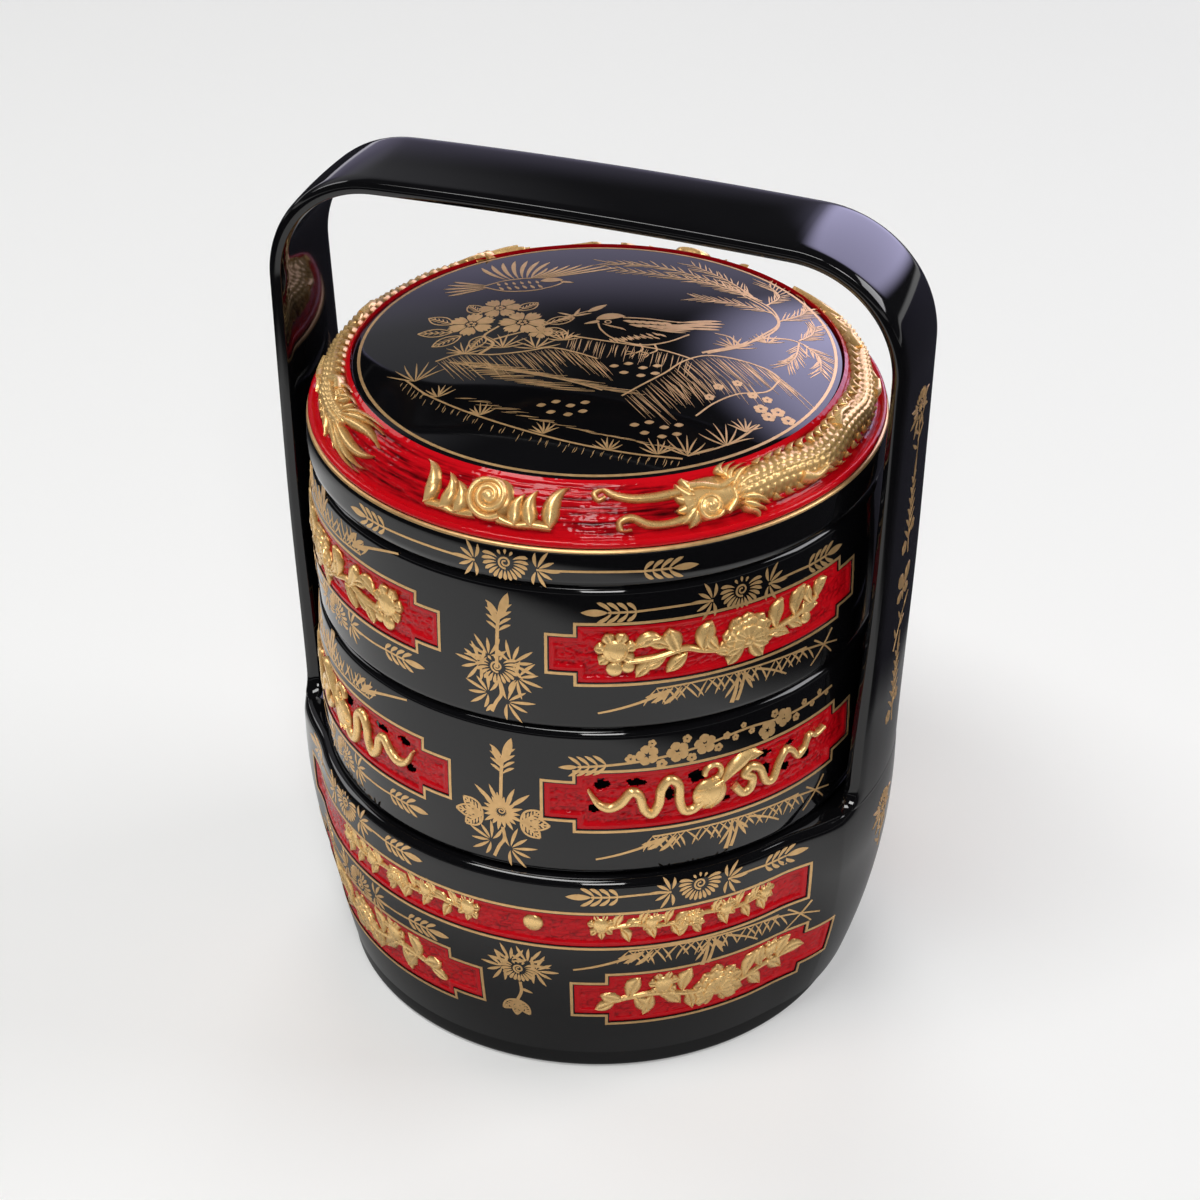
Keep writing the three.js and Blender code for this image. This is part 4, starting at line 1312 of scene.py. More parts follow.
def leafy_branch(bm):
    """A shorter branch with two flowers, for the base."""
    stalk(bm, [(-44, -1), (-28, 1), (-10, -2), (8, -4), (26, -0.5), (42, 1)])
    for root, turn, reach, width in (
            ((-40, -0.6), 165, 10, 5.6), ((-38, -0.4), 66, 11, 6.4), ((-36, 0), -50, 10, 6.0),
            ((-28, 1), 250, 10, 5.8), ((-24, 1), -35, 11, 6.0), ((-14, 0), 72, 11, 6.6),
            ((-12, -1), -70, 9, 5.4), ((16, -2), 62, 12, 6.4), ((18, -2), -42, 10, 5.6),
            ((25, 0), 92, 10, 6.0), ((28, 0.4), -32, 10, 5.6), ((34, 0.8), 58, 10, 6.0),
            ((36, 1), 6, 11, 5.8), ((-44, -1), 205, 9, 5.0)):
        carved_leaf(bm, root, turn, reach, width)
    peony(bm, (3, -4.0), 12.0)
    rose(bm, (-22.5, 5.0), 5.6)
    rose(bm, (30, 6.4), 4.4)


# Dragons round the lid
RING_FOOT_DEPTH = -1.0


def scaled(rise, length, width):
    """Overlapping scales on a rounded body."""
    pitch, row = 3.8, 2.9

    def shape(s, t):
        x, y = s * length, t * width / 2
        line = math.floor(y / row)
        a = (x / pitch + 0.5 * (line % 2)) % 1.0
        b = y / row - line
        scale = (1 - a) * (1 - (2 * b - 1) ** 2)
        return RING_FOOT_DEPTH * 0.6 + rise * (1 - t * t) + 0.85 * scale

    return shape


def flame(bm, root, heading, length, width, sag, rise=1.9):
    """A curling tongue, thick at its root."""
    line = bow(root, polar(root, heading, length), sag, 14)
    hook = Vector((-math.sin(math.radians(heading)), math.cos(math.radians(heading)))) * -0.35 * sag
    line = [p + hook * (max(0.0, i / 14 - 0.6) / 0.4) ** 2 * 2 for i, p in enumerate(line)]
    brush(bm, line, taper(width, 0.3), lambda s, t: -0.5 + rise * (1 - 0.4 * s) * (1 - t * t), 6)


def pearl(bm):
    """A spiral disc between two crowns of flame."""
    at = (0, 1.4)
    knob(bm, at, 10.2, 1.7, -0.5)
    brush(bm, curl(at, 200, 2.3, 1.2, 9.0, 90), even(2.9), domed(1.0, 0.85), 8)
    knob(bm, at, 2.6, 1.2, 1.2)
    for side in (1, -1):
        foot = [(side * 5, -7.0), (side * 12, -8.8), (side * 19, -7.8), (side * 26, -8.4)]
        brush(bm, through(foot, 10), even(5.6), domed(1.7, -0.5), 8)
        for x, lean, reach, sag in ((12.5, 4, 13, 1.6), (19, -4, 15, 2.0), (26, 14, 19, 2.6)):
            flame(bm, (side * x, -8.5), 90 - side * lean, reach, 7.6, side * sag, 2.5)


def dragon(bm):
    """Whiskers, frilled snout, spiral eye, mane, scaled body with fins and a fan of a tail."""
    for points in (
            [(31, 4.5), (20, 3.8), (11, 4.2), (4, 6.2), (0, 8.6), (-3.4, 6.6), (-1.8, 4.0), (1.0, 5.2)],
            [(33, -6.4), (24, -7.6), (17, -6.6), (11, -3.6), (6.4, -5.2), (7.2, -9.0), (10.8, -8.6)]):
        brush(bm, through(points, 8), running_out(4.6, 2.3), domed(1.8, -0.6), 8)
    frill = ((112, 10), (140, 9), (165, 8.5), (195, 8.5), (222, 9), (250, 10))
    for i, (turn, reach) in enumerate(frill):
        flame(bm, (36.5, 3.5 - 1.5 * i), turn, reach, 6.0, 0.5, 2.5)

    def head_width(s):
        return mix(14.5, 19.5, math.sin(math.pi * min(1.0, s * 1.2)))

    head = through([(32, -0.6), (40, 0.0), (48, 0.4), (60, 0.2)], 8)
    brush(bm, head, head_width, domed(2.3, -0.6), 14)
    knob(bm, (42, -3.2), 5.4, 1.5, 1.1)
    brush(bm, curl((42, -3.2), 0, 1.9, 0.8, 5.4, 60), even(1.7), domed(0.8, 1.9), 6)
    knob(bm, (42, -3.2), 1.6, 0.9, 2.1)
    brow = through([(35, 6.4), (41, 5.6), (48, 3.4), (54, 5.2)], 8)
    brush(bm, brow, even(3.2), domed(1.1, 1.3), 6)
    brush(bm, through([(49, -7), (53, -3), (53, 1.5)], 8), even(2.4), domed(0.9, 1.2), 6)
    for i, turn in enumerate((80, 62, 44, 28, 12, -4, -20, -38, -58)):
        flame(bm, (51 + 0.5 * i, 7.0 - 1.7 * i), turn, 16 - 0.5 * abs(i - 4), 4.8, 1.8, 2.8)

    spine = through([(56, 0.2), (78, 1.2), (102, -1.4), (126, 1.4), (150, -1.2), (174, 1.2),
                     (198, -0.8), (222, 0.4)], 24)
    length = sum((b - a).length for a, b in zip(spine, spine[1:]))
    brush(bm, spine, lambda s: mix(16.5, 10.0, s * s), scaled(2.0, length, 16.5), 24)
    for i in range(24):
        s = 0.08 + 0.88 * i / 23
        at = spine[round(s * (len(spine) - 1))]
        half = mix(6.8, 3.8, s * s)
        flame(bm, (at.x, at.y + half), 48, 7.4, 4.6, 0.9, 2.0)
        flame(bm, (at.x + 3, at.y - half), -44, 5.4, 3.8, -0.7, 1.6)
    for x, y, lean in ((86, -4, -1), (160, -4, -1), (118, 4, 1), (188, 4, 1)):
        limb = through([(x, y), (x + 6, y + lean * 3.0), (x + 13, y + lean * 2.2)], 8)
        brush(bm, limb, running_out(6.6, 4.4), domed(2.6, -0.3), 8)
        for turn in (-40, -8, 24):
            flame(bm, (x + 13, y + lean * 2.0), turn, 8.0, 3.2, 0.6, 2.4)
    for i, turn in enumerate((30, 19, 8, -4, -16, -28)):
        sag = 2.4 if i < 3 else -2.4
        flame(bm, (218, 4.0 - 1.6 * i), turn * 0.8, 33 - 1.6 * abs(i - 2.5), 5.4, sag, 2.3)
    for x, turn in ((196, 42), (204, 30), (210, -34), (200, -40)):
        flame(bm, (x, 3.6 if turn > 0 else -3.6), turn, 17, 4.8, 1.6, 2.0)


RING_SMOOTH = (0.06, 0.93)   # shares of the slope between the smooth red edges
RING_EASE = 0.06             # share of the slope over which the carving starts and ends
RING_FURROW = 0.45
RING_STEPS = 60
RING_OUT = (0.78, 0.62)      # outward direction of the slope: away from the middle and up
# painted shade fills the hollows of the ring's relief between these heights
RING_GILT = (-0.9, 2.2)      # hollows of the ring's relief are full at the first height and end at the second
PEARL_TURN = math.radians(-1.7)
DRAGON_TURN = math.radians(21.5)


def make_ring():
    """The sloping red ring: bead, smooth edges and a furrowed ground for the dragons."""
    bead = arc(RING_FOOT_RADIUS + BEAD, ring_low.z + BEAD, BEAD, -90, 85, 10)
    slope = [ring_slope(t) for t in shares(RING_STEPS)[1:]]
    seat = dome_low.z
    ledge = RING_TOP_RADIUS - DOME_LEDGE
    profile = [(INNER_RADIUS - LEDGE + RING_THICKNESS / 2, ring_low.z)] + bead + slope
    profile += [(RING_TOP_RADIUS, seat), (ledge, seat), (ledge, seat - RING_THICKNESS / 2)]
    bm = revolve_stops(profile, [0.0], RING_SWEEP)
    row = bm.verts.layers.int["row"]
    hollow_shade = bm.verts.layers.float.new("hollow_shade")
    start, end = RING_SMOOTH
    for v in bm.verts:
        share = (v[row] - len(bead)) / RING_STEPS
        if not start < share < end:
            continue
        carved = smoothstep(share, start, start + RING_EASE) * (1 - smoothstep(share, end - RING_EASE, end))
        phi = math.atan2(v.co.x, -v.co.y)
        up = share * RING_LENGTH
        furrow = 0.8 * noise.noise((4.5 * math.sin(phi), 4.5 * math.cos(phi), up * 0.75))
        furrow += 0.5 * noise.noise((17 * math.sin(phi), 17 * math.cos(phi), up * 1.7))
        sunk = carved * RING_FURROW * (1 - furrow)
        # painted shade in the deeper furrows of the ring
        v[hollow_shade] = carved * smoothstep(-furrow, -0.4, 0.7)
        v.co -= Vector((v.co.x, v.co.y, 0)).normalized() * sunk * RING_OUT[0]
        v.co.z -= sunk * RING_OUT[1]
    piece("lid_ring_carving", bm, "red_lacquer", "lid", ["lid_carved_ring"], sharp=80)
    for name, turn in (("front", 0.0), ("back", math.pi)):
        gilt(f"lid_pearl_{name}", pearl, on_ring(turn + PEARL_TURN), "lid", 1, *RING_GILT)
        gilt(f"lid_dragon_{name}", dragon, on_ring(turn + DRAGON_TURN), "lid", 1, *RING_GILT)


# Picture on the dome: birds, blossom, rocks and pine, drawn towards the front
def hatch(bm, line, heading, reach, count):
    """Loose parallel strokes that hang from a line."""
    for i in range(count):
        at = line[round(i / (count - 1) * (len(line) - 1))] + Vector((hand.uniform(-0.8, 0.8), 0))
        gap = hand.uniform(0.5, 3.0)
        length = reach * hand.uniform(0.45, 1.0)
        turn = heading + hand.uniform(-4, 4)
        leaf(bm, polar(at, heading, gap), turn, length, 0.3, hand.uniform(-0.4, 0.4))


def outlined_leaf(bm, root, heading, length, width):
    tip = polar(root, heading, length)
    for side in (1, -1):
        brush(bm, bow(root, tip, side * width / 2), even(0.6))
        for i in range(4):
            start = Vector(root).lerp(tip, 0.2 + 0.17 * i)
            leaf(bm, start, heading + side * 38, width * 0.42, 0.5)
    brush(bm, bow(root, tip), even(0.5))


def open_flower(bm, at, radius, lean):
    """A full flower: petals of fanned strokes round a dotted heart."""
    for i in range(6):
        turn = lean + 60 * i
        for off in (-20, -7, 7, 20):
            root = polar(at, turn + off, radius * 0.25)
            reach = radius * (0.75 - 0.006 * abs(off))
            leaf(bm, root, turn + off * 0.8, reach, radius * 0.2, peak=0.7)
    for i in range(5):
        blossom(bm, polar(at, lean + 72 * i, radius * 0.14), 0.8)


def grass(bm, at, reach, count=7, spread=120):
    tuft(bm, at, 90, spread, count, reach, 0.8, 0.2)


NEEDLE = 9.0


def bough(bm, points):
    """A pine bough with needles on both sides."""
    line = through(points, 6)
    brush(bm, line, running_out(0.9, 0.4))
    for before, at in zip(line, line[1:]):
        ahead = math.degrees(math.atan2(*reversed(at - before)))
        for side in (1, -1):
            turn = ahead + side * hand.uniform(24, 40)
            leaf(bm, at, turn, NEEDLE * hand.uniform(0.7, 1.1), 0.6)


def perched_bird(bm):
    """A bird on the rock, facing left."""
    leaf(bm, (0.5, 12.5), 14, 13, 5.6, 1.6, peak=0.5)
    leaf(bm, (2.0, 11.0), 200, 7, 2.4, peak=0.12)
    brush(bm, curl((5.6, 10.2), 0, 1.0, 1.3, 1.3, 16), even(0.5))
    for i in range(5):
        leaf(bm, (3.2 + 1.5 * i, 8.4 - 0.7 * i), -38, 5.0, 0.7, 0.3)
    stroke(bm, [(1.4, 9), (2.6, 3), (8, -5), (19, -10), (30, -7), (40, 1)], 0.8)
    stroke(bm, [(12, 14.6), (22, 14), (36, 12), (50, 14)], 0.8)
    for i in range(9):
        leaf(bm, (6.0 + 2.6 * i, 1.2 - 0.9 * abs(i - 7)), -58 + 3 * i, 4.2, 1.2, peak=0.6)
    for i in range(7):
        root = (7.5 + 2.8 * i, -3.6 - 0.4 * abs(i - 4) + 0.3 * i)
        leaf(bm, root, -50 + 4 * i, 3.6, 1.0, peak=0.6)
    for i in range(6):
        leaf(bm, (12 + 3.2 * i, 11.6 - 0.2 * i), -24, 5.4, 2.3, 0.5, peak=0.62)
        leaf(bm, (14.5 + 3.0 * i, 8.0 - 0.1 * i), -22, 6.0, 2.0, 0.5, peak=0.62)
    for i in range(6):
        leaf(bm, (22 + 1.6 * i, 5.4 + 0.8 * i), -10 + 3 * i, 17, 1.3, -0.8, peak=0.6)
    for i in range(4):
        leaf(bm, (35, 5.5 + 1.9 * i), 6 + 2.5 * i, 21 - 1.2 * abs(i - 2), 1.7, 0.4, peak=0.75)
    for x in (19, 25):
        stroke(bm, [(x, -9), (x + 1, -14), (x - 2, -17)], 0.8)
        tuft(bm, (x - 2, -17), 200, 80, 3, 4, 0.6)


def flying_bird(bm):
    """A bird on the wing, facing right, with one wing up and one spread behind it."""
    stroke(bm, [(-16, 0), (-6, 5), (6, 6), (15, 4), (19, 0)], 0.8)
    stroke(bm, [(-16, -1), (-6, -8), (6, -9), (15, -5), (19, -1)], 0.8)
    leaf(bm, (9, 1.4), 4, 10, 5.2, 0.8, peak=0.5)
    leaf(bm, (18, 0), -14, 6, 2.0, peak=0.15)
    for i in range(6):
        leaf(bm, (-9 + 3.4 * i, -2.5), -64, 4.6, 1.4, peak=0.6)
        leaf(bm, (-10 + 3.4 * i, 2.4), -70, 3.6, 1.3, peak=0.6)
    for i in range(7):
        leaf(bm, (-6 + 1.8 * i, 6), 122 - 9 * i, 25 - abs(i - 3), 2.0, 1.4, peak=0.7)
        leaf(bm, (4 + 1.4 * i, 5.5), 58 - 6 * i, 15 + 3.2 * i, 1.5, -1.0, peak=0.7)
    for i in range(5):
        leaf(bm, (-15, 1.0 - i), 150 + 11 * i, 19 - abs(i - 2), 1.7, 0.4, peak=0.7)


def pebbles(bm, at):
    for dx, dy in ((-9, 2), (-3, 4), (3, 1), (9, 3), (-5, -3), (2, -5), (8, -3)):
        leaf(bm, (at[0] + dx - 2, at[1] + dy), 8, 4, 2.4, peak=0.5)


# Rocks of the dome picture: outline, whether it is drawn, and heading, reach and count of its hatching
ROCKS = (
    ([(-68, -16), (-58, -12), (-44, -15), (-30, -14), (-20, -12), (-10, -16), (0, -22)], True, (-62, 24, 70)),
    ([(-62, -18), (-50, -24), (-34, -30), (-14, -38), (2, -46)], True, (-12, 20, 40)),
    ([(-58, -24), (-40, -36), (-20, -44)], False, (-8, 22, 34)),
    ([(-12, -2), (0, -6), (14, -10), (28, -14), (40, -20)], True, (-100, 15, 46)),
    ([(10, -50), (18, -42), (28, -32), (36, -22), (46, -16), (58, -17), (70, -22), (76, -28)], True,
     (-58, 26, 76)),
    ([(40, -62), (48, -52), (58, -44), (70, -40), (76, -30)], True, None),
    ([(28, -40), (44, -34), (62, -34)], False, (-66, 18, 34)),
)
FINE = 0.8                   # width of the picture's fine lines


def dome_picture(bm):
    for points, drawn, hatching in ROCKS:
        if drawn:
            stroke(bm, points, FINE)
        if hatching:
            hatch(bm, through(points), *hatching)
    for at in ((50, -40), (58, -36), (64, -44), (70, -46), (46, -48)):
        blossom(bm, at, 2.2)
    for at in ((16, -30), (-14, -58), (24, -72)):
        pebbles(bm, at)

    # Ground along the water and its grass
    shore = [(-80, -28), (-70, -42), (-52, -58), (-30, -72), (-8, -82), (14, -88), (34, -90)]
    stroke(bm, shore, 0.9)
    hatch(bm, through(shore), -110, 5, 60)
    hatch(bm, through([(-60, -46), (-30, -64), (0, -76), (30, -84)]), -14, 12, 40)
    for at, reach in (
            ((-76, -30), 15), ((-66, -44), 9), ((-48, -60), 8), ((-22, -75), 8), ((4, -86), 8),
            ((24, -88), 10), ((36, -88), 14), ((52, -80), 15), ((60, -70), 9)):
        grass(bm, at, reach)
    stroke(bm, [(36, -88), (48, -82), (58, -74), (66, -64)], FINE)
    for at in ((70, -58), (74, -54), (67, -53), (78, -59)):
        blossom(bm, at, 3.0)

    # Blossom over the first rock
    stroke(bm, [(-50, -14), (-44, -6), (-48, 2), (-42, 10)], 1.6, 0.9)
    stroke(bm, [(-44, -2), (-26, 6), (-12, 16), (-2, 22)], 1.0, 0.6)
    for at, radius, lean in (
            ((-54, 14), 11, 20), ((-32, 12), 11, 50), ((-42, 28), 10, 0), ((-24, 2), 6, 30)):
        open_flower(bm, at, radius, lean)
    for root, turn, reach in (
            ((-62, 8), 170, 15), ((-62, 16), 140, 14), ((-58, 4), 210, 14), ((-22, 10), 20, 13),
            ((-24, 4), -20, 12), ((-48, 2), 240, 11), ((-50, 24), 120, 11), ((-34, 24), 40, 11)):
        outlined_leaf(bm, root, turn, reach, 7.0)
    leaf(bm, (-4, 20), 42, 11, 3.2)
    for turn in (20, 70, 150, 210):
        leaf(bm, (-10, 16), turn, 8, 1.4)
    for at, reach in (((-40, -10), 13), ((-56, -12), 10), ((-26, -12), 12), ((-14, -6), 9)):
        grass(bm, at, reach, 8, 150)

    # Pine on the second rock
    for off in (0.0, 2.2):
        trunk = [(44 + off, -14), (58 + off, -6), (70, 4 + off), (78, 18 + off)]
        stroke(bm, trunk + [(76 - off, 34), (66 - off, 46)], 1.3, 0.7)
    stroke(bm, [(70, 4), (82, 6), (90, 2)], 1.2, 0.5)
    stroke(bm, [(60, -4), (56, 2), (50, 4)], 1.2, 0.5)
    for points in (
            [(72, 42), (54, 54), (34, 62), (10, 68)], [(70, 44), (50, 60), (28, 74), (6, 78)],
            [(68, 46), (58, 62), (44, 78)], [(76, 30), (60, 36), (44, 38)], [(78, 22), (88, 32), (92, 40)],
            [(86, 6), (92, 14), (94, 22)], [(88, 3), (94, -6), (94, -18)], [(86, 4), (84, -8), (80, -16)],
            [(74, 38), (80, 50), (76, 62)]):
        bough(bm, points)
    grass(bm, (58, -8), 11, 9, 150)
    grass(bm, (72, 0), 9, 8, 140)


PICTURE_TURN = math.radians(20.5)


def on_picture(dx=0, dy=0):
    """Moves a drawing over, turns it to face the photograph's side and lays it on the dome."""
    turn = Matrix.Rotation(PICTURE_TURN, 3, "Z")
    return lambda p: on_dome(turn @ (p + Vector((dx, dy, 0))))


# Ornament in place
def paint_round(bm, front, draw, z, radius, turned=1):
    """The same motif at a place in front, its angle in degrees, and at the opposite place."""
    for phi in (front, front + 180):
        paint_on(bm, draw, on_wall(math.radians(phi), z, radius, turned))


def on_leg(z, side):
    """Lays flat points on the outer face of a leg, seen from outside."""
    face = LEG_MIDDLE + STRAP_THICKNESS / 2 - PAINT_ROOM

    def place(p):
        h = z + p.y
        curve = 1 - smoothstep(h - RIM_Z, 0, LEG_FLATTENING)
        x = face + (h - RIM_Z) * math.tan(LEG_SPLAY) - strap_sag(p.x, curve, 1.0) + p.z
        return Vector((side * x, side * p.x, h))

    return place


# Motifs painted on each wall: angle in degrees, drawing, height, and -1 where it is upside down
UPPER_PAINT = (
    (48.3, lambda bm: garland(bm, 67, 57), 248.0, 1), (47.0, pine, 207.5, 1), (-47.0, pine, 248.4, -1),
    (-42.3, lambda bm: garland(bm, 60, 60), 206.0, -1), (1.5, upper_sprig, 217.5, 1))
LOWER_PAINT = (
    (45.0, plum, 176.0, 1), (46.5, pine, 132.0, 1), (-46.5, pine, 176.4, -1),
    (-43.0, lambda bm: garland(bm, 60, 60), 130.0, -1), (1.6, lower_sprig, 144.2, 1))
BASE_PAINT = (
    (40.2, lambda bm: garland(bm, 58, 54), 106.0, 1), (-40.2, lambda bm: garland(bm, 58, 54), 106.0, 1),
    (41.5, pine, 73.0, 1), (-37.0, lambda bm: garland(bm, 58, 54), 68.0, -1), (4.4, base_sprig, 60.3, 1))
LEG_PAINT = ((300, leg_flower), (254, leg_spray), (208, leg_butterfly), (166, leg_spray))
CHEEK_FLOWER_Z = 94.0
BASE_FULLER = 1.22           # the base's relief is taller on the wall than it is drawn
BAND_RELIEF_RISE = 2.0
DOME_LINE_HALF = 0.65


def ornament_trays():
    for name, panel, panel_z, radius, relief, holes, motifs in (
            ("upper_tray", UPPER_PANEL, UPPER_PANEL_Z, upper_radius, flower_branch, (), UPPER_PAINT),
            ("lower_tray", LOWER_PANEL, LOWER_PANEL_Z, lower_radius, ribbon_gourd, PIERCINGS, LOWER_PAINT)):
        bm = bmesh.new()
        for corner, angle in TRAY_PANELS.items():
            phi = math.radians(angle)
            node = f"{name}_panel_{corner}"
            side = 1 if corner in ("front_right", "back_left") else -1
            make_plate(node, name, panel, phi, panel_z, radius, holes, side, angle * 0.1)
            gilt(f"{node}_relief", relief, on_wall(phi, panel_z, radius), name, side)
            paint_on(bm, lambda flat_bm: gold_frame(flat_bm, panel), on_wall(phi, panel_z, radius))
        for front, draw, z, turned in motifs:
            paint_round(bm, front, draw, z, radius, turned)
        painting(f"{name}_painting", bm, name)


def ornament_base():
    bm = bmesh.new()
    for node, (panel, phi, z, radius) in base_panel_places().items():
        make_plate(node, "base", panel, phi, z, radius, (), 1, phi * 3.0)
        paint_on(bm, lambda flat_bm: gold_frame(flat_bm, panel), on_wall(phi, z, radius))
        if "band" not in node:
            side = 1 if node.endswith(("front_right", "back_left")) else -1
            place = on_wall(phi, z, relief_radius)
            gilt(f"{node}_relief", leafy_branch, place, "base", side, fuller=BASE_FULLER)
            continue
        for name, draw, turn, side, fuller in (
                ("pearl", band_pearl, 7.6, 1, 1.0), ("spray_right", band_spray, 37.5, 1, BASE_FULLER),
                ("spray_left", band_spray, -22.5, -1, BASE_FULLER)):
            place = on_wall(phi + math.radians(turn), z + BAND_RELIEF_RISE, relief_radius)
            gilt(f"{node}_{name}", draw, place, "base", side, fuller=fuller)
    for front, draw, z, turned in BASE_PAINT:
        paint_round(bm, front, draw, z, bowl_radius, turned)
    for phi in (90, 270):
        paint_on(bm, leg_flower, on_wall(math.radians(phi), CHEEK_FLOWER_Z, bowl_radius))
    for side in (1, -1):
        for z, draw in LEG_PAINT:
            paint_on(bm, draw, on_leg(z, side))
    painting("base_painting", bm, "base")


def ornament_lid():
    make_ring()
    bm = bmesh.new()
    top = TRAY_RADIUS - LID_BAND_SWELL - LID_TOP_ROUND
    gold_ring(bm, arc(top, band_high.z - LID_TOP_ROUND, LID_TOP_ROUND + PAINT, 5, 85, 5))
    edge = [on_dome(Vector((DOME_LINE + off, 0, PAINT))) for off in (-DOME_LINE_HALF, DOME_LINE_HALF)]
    gold_ring(bm, [(p.x, p.z) for p in edge])
    paint_round(bm, 3.3, lambda flat_bm: garland(flat_bm, 80, 78), 267.4, lid_band_radius)
    paint_on(bm, dome_picture, on_picture())
    paint_on(bm, perched_bird, on_picture(-1, 0))
    paint_on(bm, flying_bird, on_picture(-34, 54))
    painting("lid_painting", bm, "lid")


make_base()
make_tray("lower_tray", lower_low.z, lower_high.z, LOWER_PANEL, LOWER_PANEL_Z, lower_radius,
          PIERCED_RECESS)
make_tray("upper_tray", upper_low.z, upper_high.z, UPPER_PANEL, UPPER_PANEL_Z, upper_radius, RECESS)
make_lid()
ornament_base()
ornament_trays()
ornament_lid()
for peg in ("right_front", "right_back", "left_front", "left_back"):
    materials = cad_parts[f"handle_peg_{peg}"].data.materials
    materials.clear()
    materials.append(FINISHES["bamboo"])


# Stage
FLOOR_SIZE = 12.0
FLOOR_TONE = (0.72, 0.72, 0.714, 1)
FLOOR_GLOW = 0.22
FLOOR_SOCKETS = {"Roughness": 0.7, "Specular IOR Level": 0.1, "Emission Color": (1.0, 1.0, 0.99, 1)}
HORIZON = (1.3, 3.2)         # the floor pales towards the horizon between these distances
HORIZON_GLOW = 0.55
# For glossy rays only, the floor takes a painted dark reflection outwards, and painted shadow behind the
# basket and near its foot
PAINTED_REFLECTION_TONE = (0.012, 0.012, 0.014, 1)
PAINTED_REFLECTION_MIDDLE = (-0.16, -0.17, 0.0)
PAINTED_REFLECTION_EDGE = (0.43, 0.56)
BEHIND = (0.6, 0.8, 0.0)
BEHIND_SHADOW_EDGE, BEHIND_SHADOW_SHARE = (0.05, 0.26), 0.78
FOOT_SHADE, FOOT_SHARE = (0.14, 0.25), 0.65
# A dim studio over a pale horizon
SKY_LOW, SKY_HIGH = (0.78, 0.78, 0.78, 1), (0.03, 0.03, 0.033, 1)
SKY_EDGE = (-0.01, 0.03)
SKY_SEEN = (0.82, 0.82, 0.81, 1)
# Painted reflections of cards that show only in the lacquer and other glossy surfaces: direction, colour, and
# where they start and are full
PAINTED_REFLECTIONS = (
    ((-0.35, 0.937, 0.0), (0.37, 0.34, 0.50, 1), 0.90, 0.985),
    ((0.20, 0.892, 0.407), (2.9, 2.75, 4.2, 1), 0.905, 0.96),
    ((-0.62, 0.63, 0.47), (0.27, 0.27, 0.29, 1), 0.93, 0.985),
)


def make_floor_plane():
    """A pale sweep with a faint glow of its own; for glossy rays it takes a painted dark reflection outwards
    and painted shadow behind the basket and near its foot.
    """
    bm = bmesh.new()
    bmesh.ops.create_grid(bm, x_segments=1, y_segments=1, size=FLOOR_SIZE / 2)
    mesh = bpy.data.meshes.new("floor")
    bm.to_mesh(mesh)
    bm.free()
    material = bpy.data.materials.new("floor")
    material.use_nodes = True
    wiring = Wiring(material.node_tree)
    shader = wiring.nodes["Principled BSDF"].inputs
    for label, value in FLOOR_SOCKETS.items():
        shader[label].default_value = value
    rays = wiring.add("ShaderNodeLightPath").outputs
    place = wiring.place()
    # painted dark reflection outwards and painted shadow behind the basket and near its foot, seen by glossy
    # rays only
    out = wiring.vector("LENGTH", wiring.vector("SUBTRACT", place, PAINTED_REFLECTION_MIDDLE, result="Vector"))
    behind_shadow = wiring.step(wiring.vector("DOT_PRODUCT", place, BEHIND), *BEHIND_SHADOW_EDGE)
    near = wiring.calc("SUBTRACT", 1.0, wiring.step(wiring.vector("LENGTH", place), *FOOT_SHADE))
    painted_in_reflection = wiring.step(out, *PAINTED_REFLECTION_EDGE)
    for shade, share in ((behind_shadow, BEHIND_SHADOW_SHARE), (near, FOOT_SHARE)):
        painted_in_reflection = wiring.calc("MAXIMUM", painted_in_reflection, wiring.calc("MULTIPLY", shade, share))
    painted_in_reflection = wiring.calc("MULTIPLY", rays["Is Glossy Ray"], painted_in_reflection)
    wiring.feed(shader["Base Color"], wiring.blend(painted_in_reflection, FLOOR_TONE, PAINTED_REFLECTION_TONE))
    seen = wiring.calc("MAXIMUM", rays["Is Camera Ray"], rays["Is Glossy Ray"])
    glow = wiring.calc("MULTIPLY", wiring.calc("SUBTRACT", seen, painted_in_reflection), FLOOR_GLOW)
    horizon = wiring.calc("MULTIPLY", rays["Is Camera Ray"], wiring.step(out, *HORIZON))
    glow = wiring.calc("ADD", glow, wiring.calc("MULTIPLY", horizon, HORIZON_GLOW))
    wiring.feed(shader["Emission Strength"], glow)
    mesh.materials.append(material)
    floor = bpy.data.objects.new("floor", mesh)
    bpy.context.scene.collection.objects.link(floor)


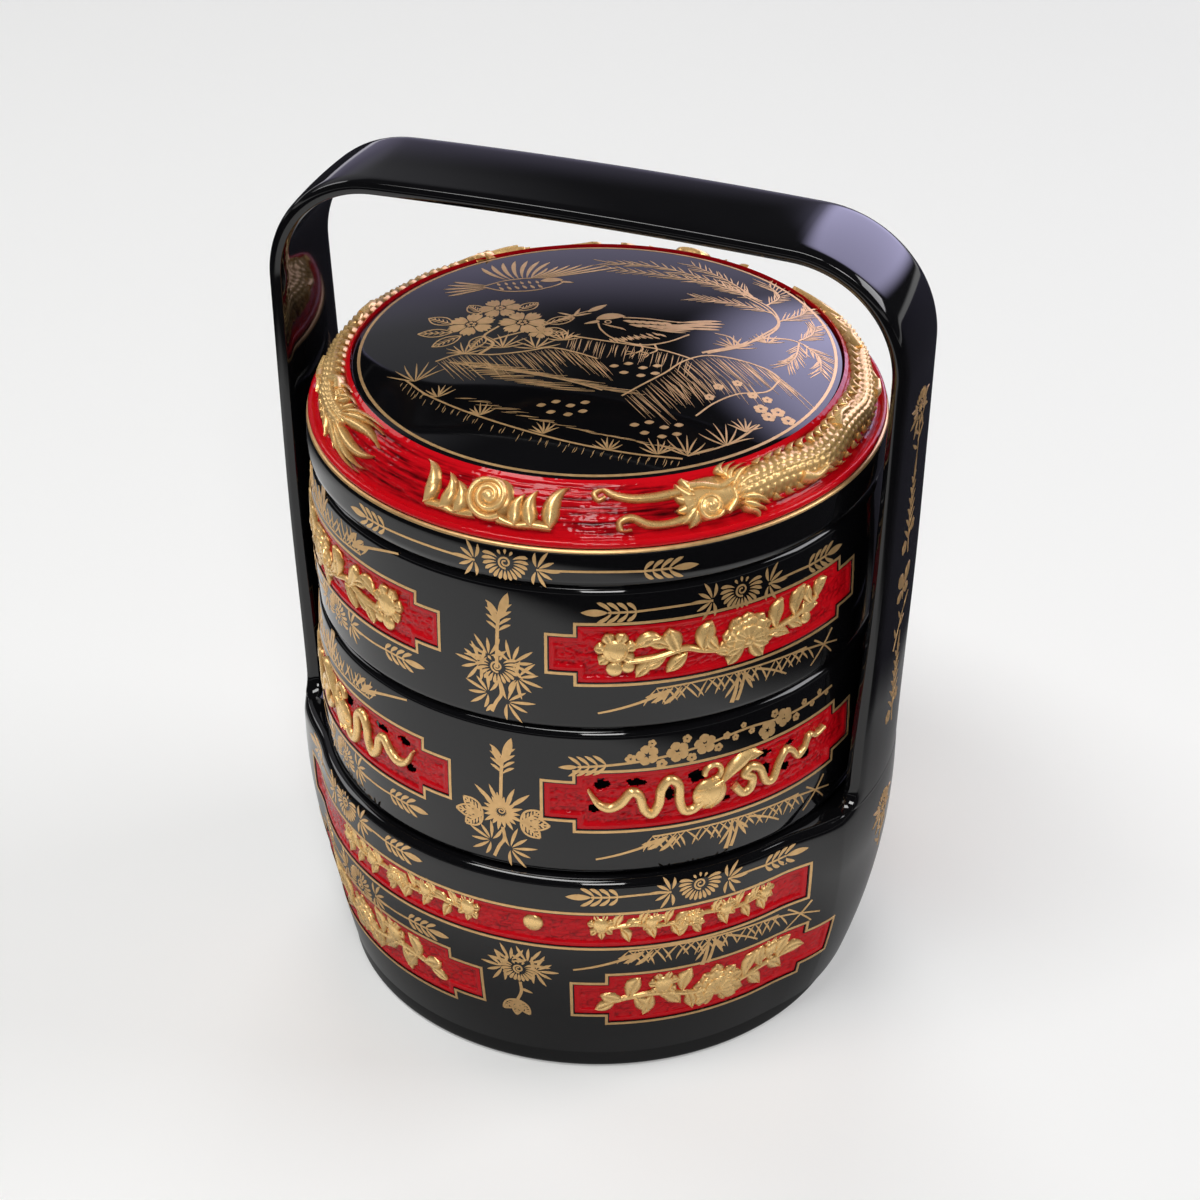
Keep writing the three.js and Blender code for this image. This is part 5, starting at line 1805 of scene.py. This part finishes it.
def make_world():
    """A dim studio over a pale horizon; its painted reflections of cards show only in what mirrors them."""
    world = bpy.data.worlds.new("studio")
    world.use_nodes = True
    bpy.context.scene.world = world
    wiring = Wiring(world.node_tree)
    direction = wiring.add("ShaderNodeTexCoord").outputs["Generated"]
    rays = wiring.add("ShaderNodeLightPath").outputs
    height = wiring.add("ShaderNodeSeparateXYZ", ((0, direction),)).outputs["Z"]
    total = wiring.blend(wiring.step(height, *SKY_EDGE), SKY_LOW, SKY_HIGH)
    for aim, colour, low, high in PAINTED_REFLECTIONS:
        facing = wiring.vector("DOT_PRODUCT", direction, Vector(aim).normalized())
        share = wiring.calc("MULTIPLY", wiring.step(facing, low, high), rays["Is Glossy Ray"])
        total = wiring.blend(share, total, colour, "ADD")
    total = wiring.blend(rays["Is Camera Ray"], total, SKY_SEEN)
    wiring.feed(wiring.nodes["Background"].inputs["Color"], total)


def area_light(name, place, aim, size, power, colour, mirrored=True):
    data = bpy.data.lights.new(name, "AREA")
    data.shape = "RECTANGLE"
    data.size, data.size_y = size
    data.energy = power
    data.color = colour
    light = bpy.data.objects.new(name, data)
    light.location = place
    light.visible_glossy = mirrored
    light.rotation_euler = (Vector(aim) - Vector(place)).to_track_quat("-Z", "Y").to_euler()
    bpy.context.scene.collection.objects.link(light)


def make_lights():
    aim = (0, 0, 0.2)
    area_light("key", (-0.3, -0.95, 2.5), aim, (1.6, 0.65), 34, (1.0, 1.0, 0.99))
    area_light("front", (0.9, -2.2, 1.9), aim, (0.7, 0.7), 20, (1.0, 0.99, 0.98))
    area_light("right", (2.2, 1.1, 1.9), aim, (1.6, 1.2), 34, (0.98, 0.98, 1.0))
    area_light("left", (-2.2, 0.5, 1.7), aim, (1.0, 1.0), 9, (1.0, 1.0, 1.0))
    area_light("back", (-0.7, 1.8, 2.4), (0, 0.1, 0), (1.2, 1.0), 18, (1.0, 1.0, 1.0), False)


def make_camera():
    """The photograph's view: 3000 pixels of focal length on a 1200 pixel frame."""
    elevation, azimuth, roll = math.radians(32.91), math.radians(20.5), math.radians(-0.17)
    distance, target = 1.3428, Vector((0, 0, 0.17627))
    away = around(azimuth, math.cos(elevation), math.sin(elevation))
    data = bpy.data.cameras.new("camera")
    data.lens = 90.0
    data.sensor_width = 36.0
    data.shift_x = 0.0016
    data.shift_y = -0.0047
    camera = bpy.data.objects.new("camera", data)
    turn = (-away).to_track_quat("-Z", "Y").to_matrix() @ Matrix.Rotation(roll, 3, "Z")
    camera.matrix_world = Matrix.Translation(target + away * distance) @ turn.to_4x4()
    bpy.context.scene.collection.objects.link(camera)
    bpy.context.scene.camera = camera


make_floor_plane()
make_world()
make_lights()
make_camera()
bpy.context.scene.view_settings.view_transform = "Standard"
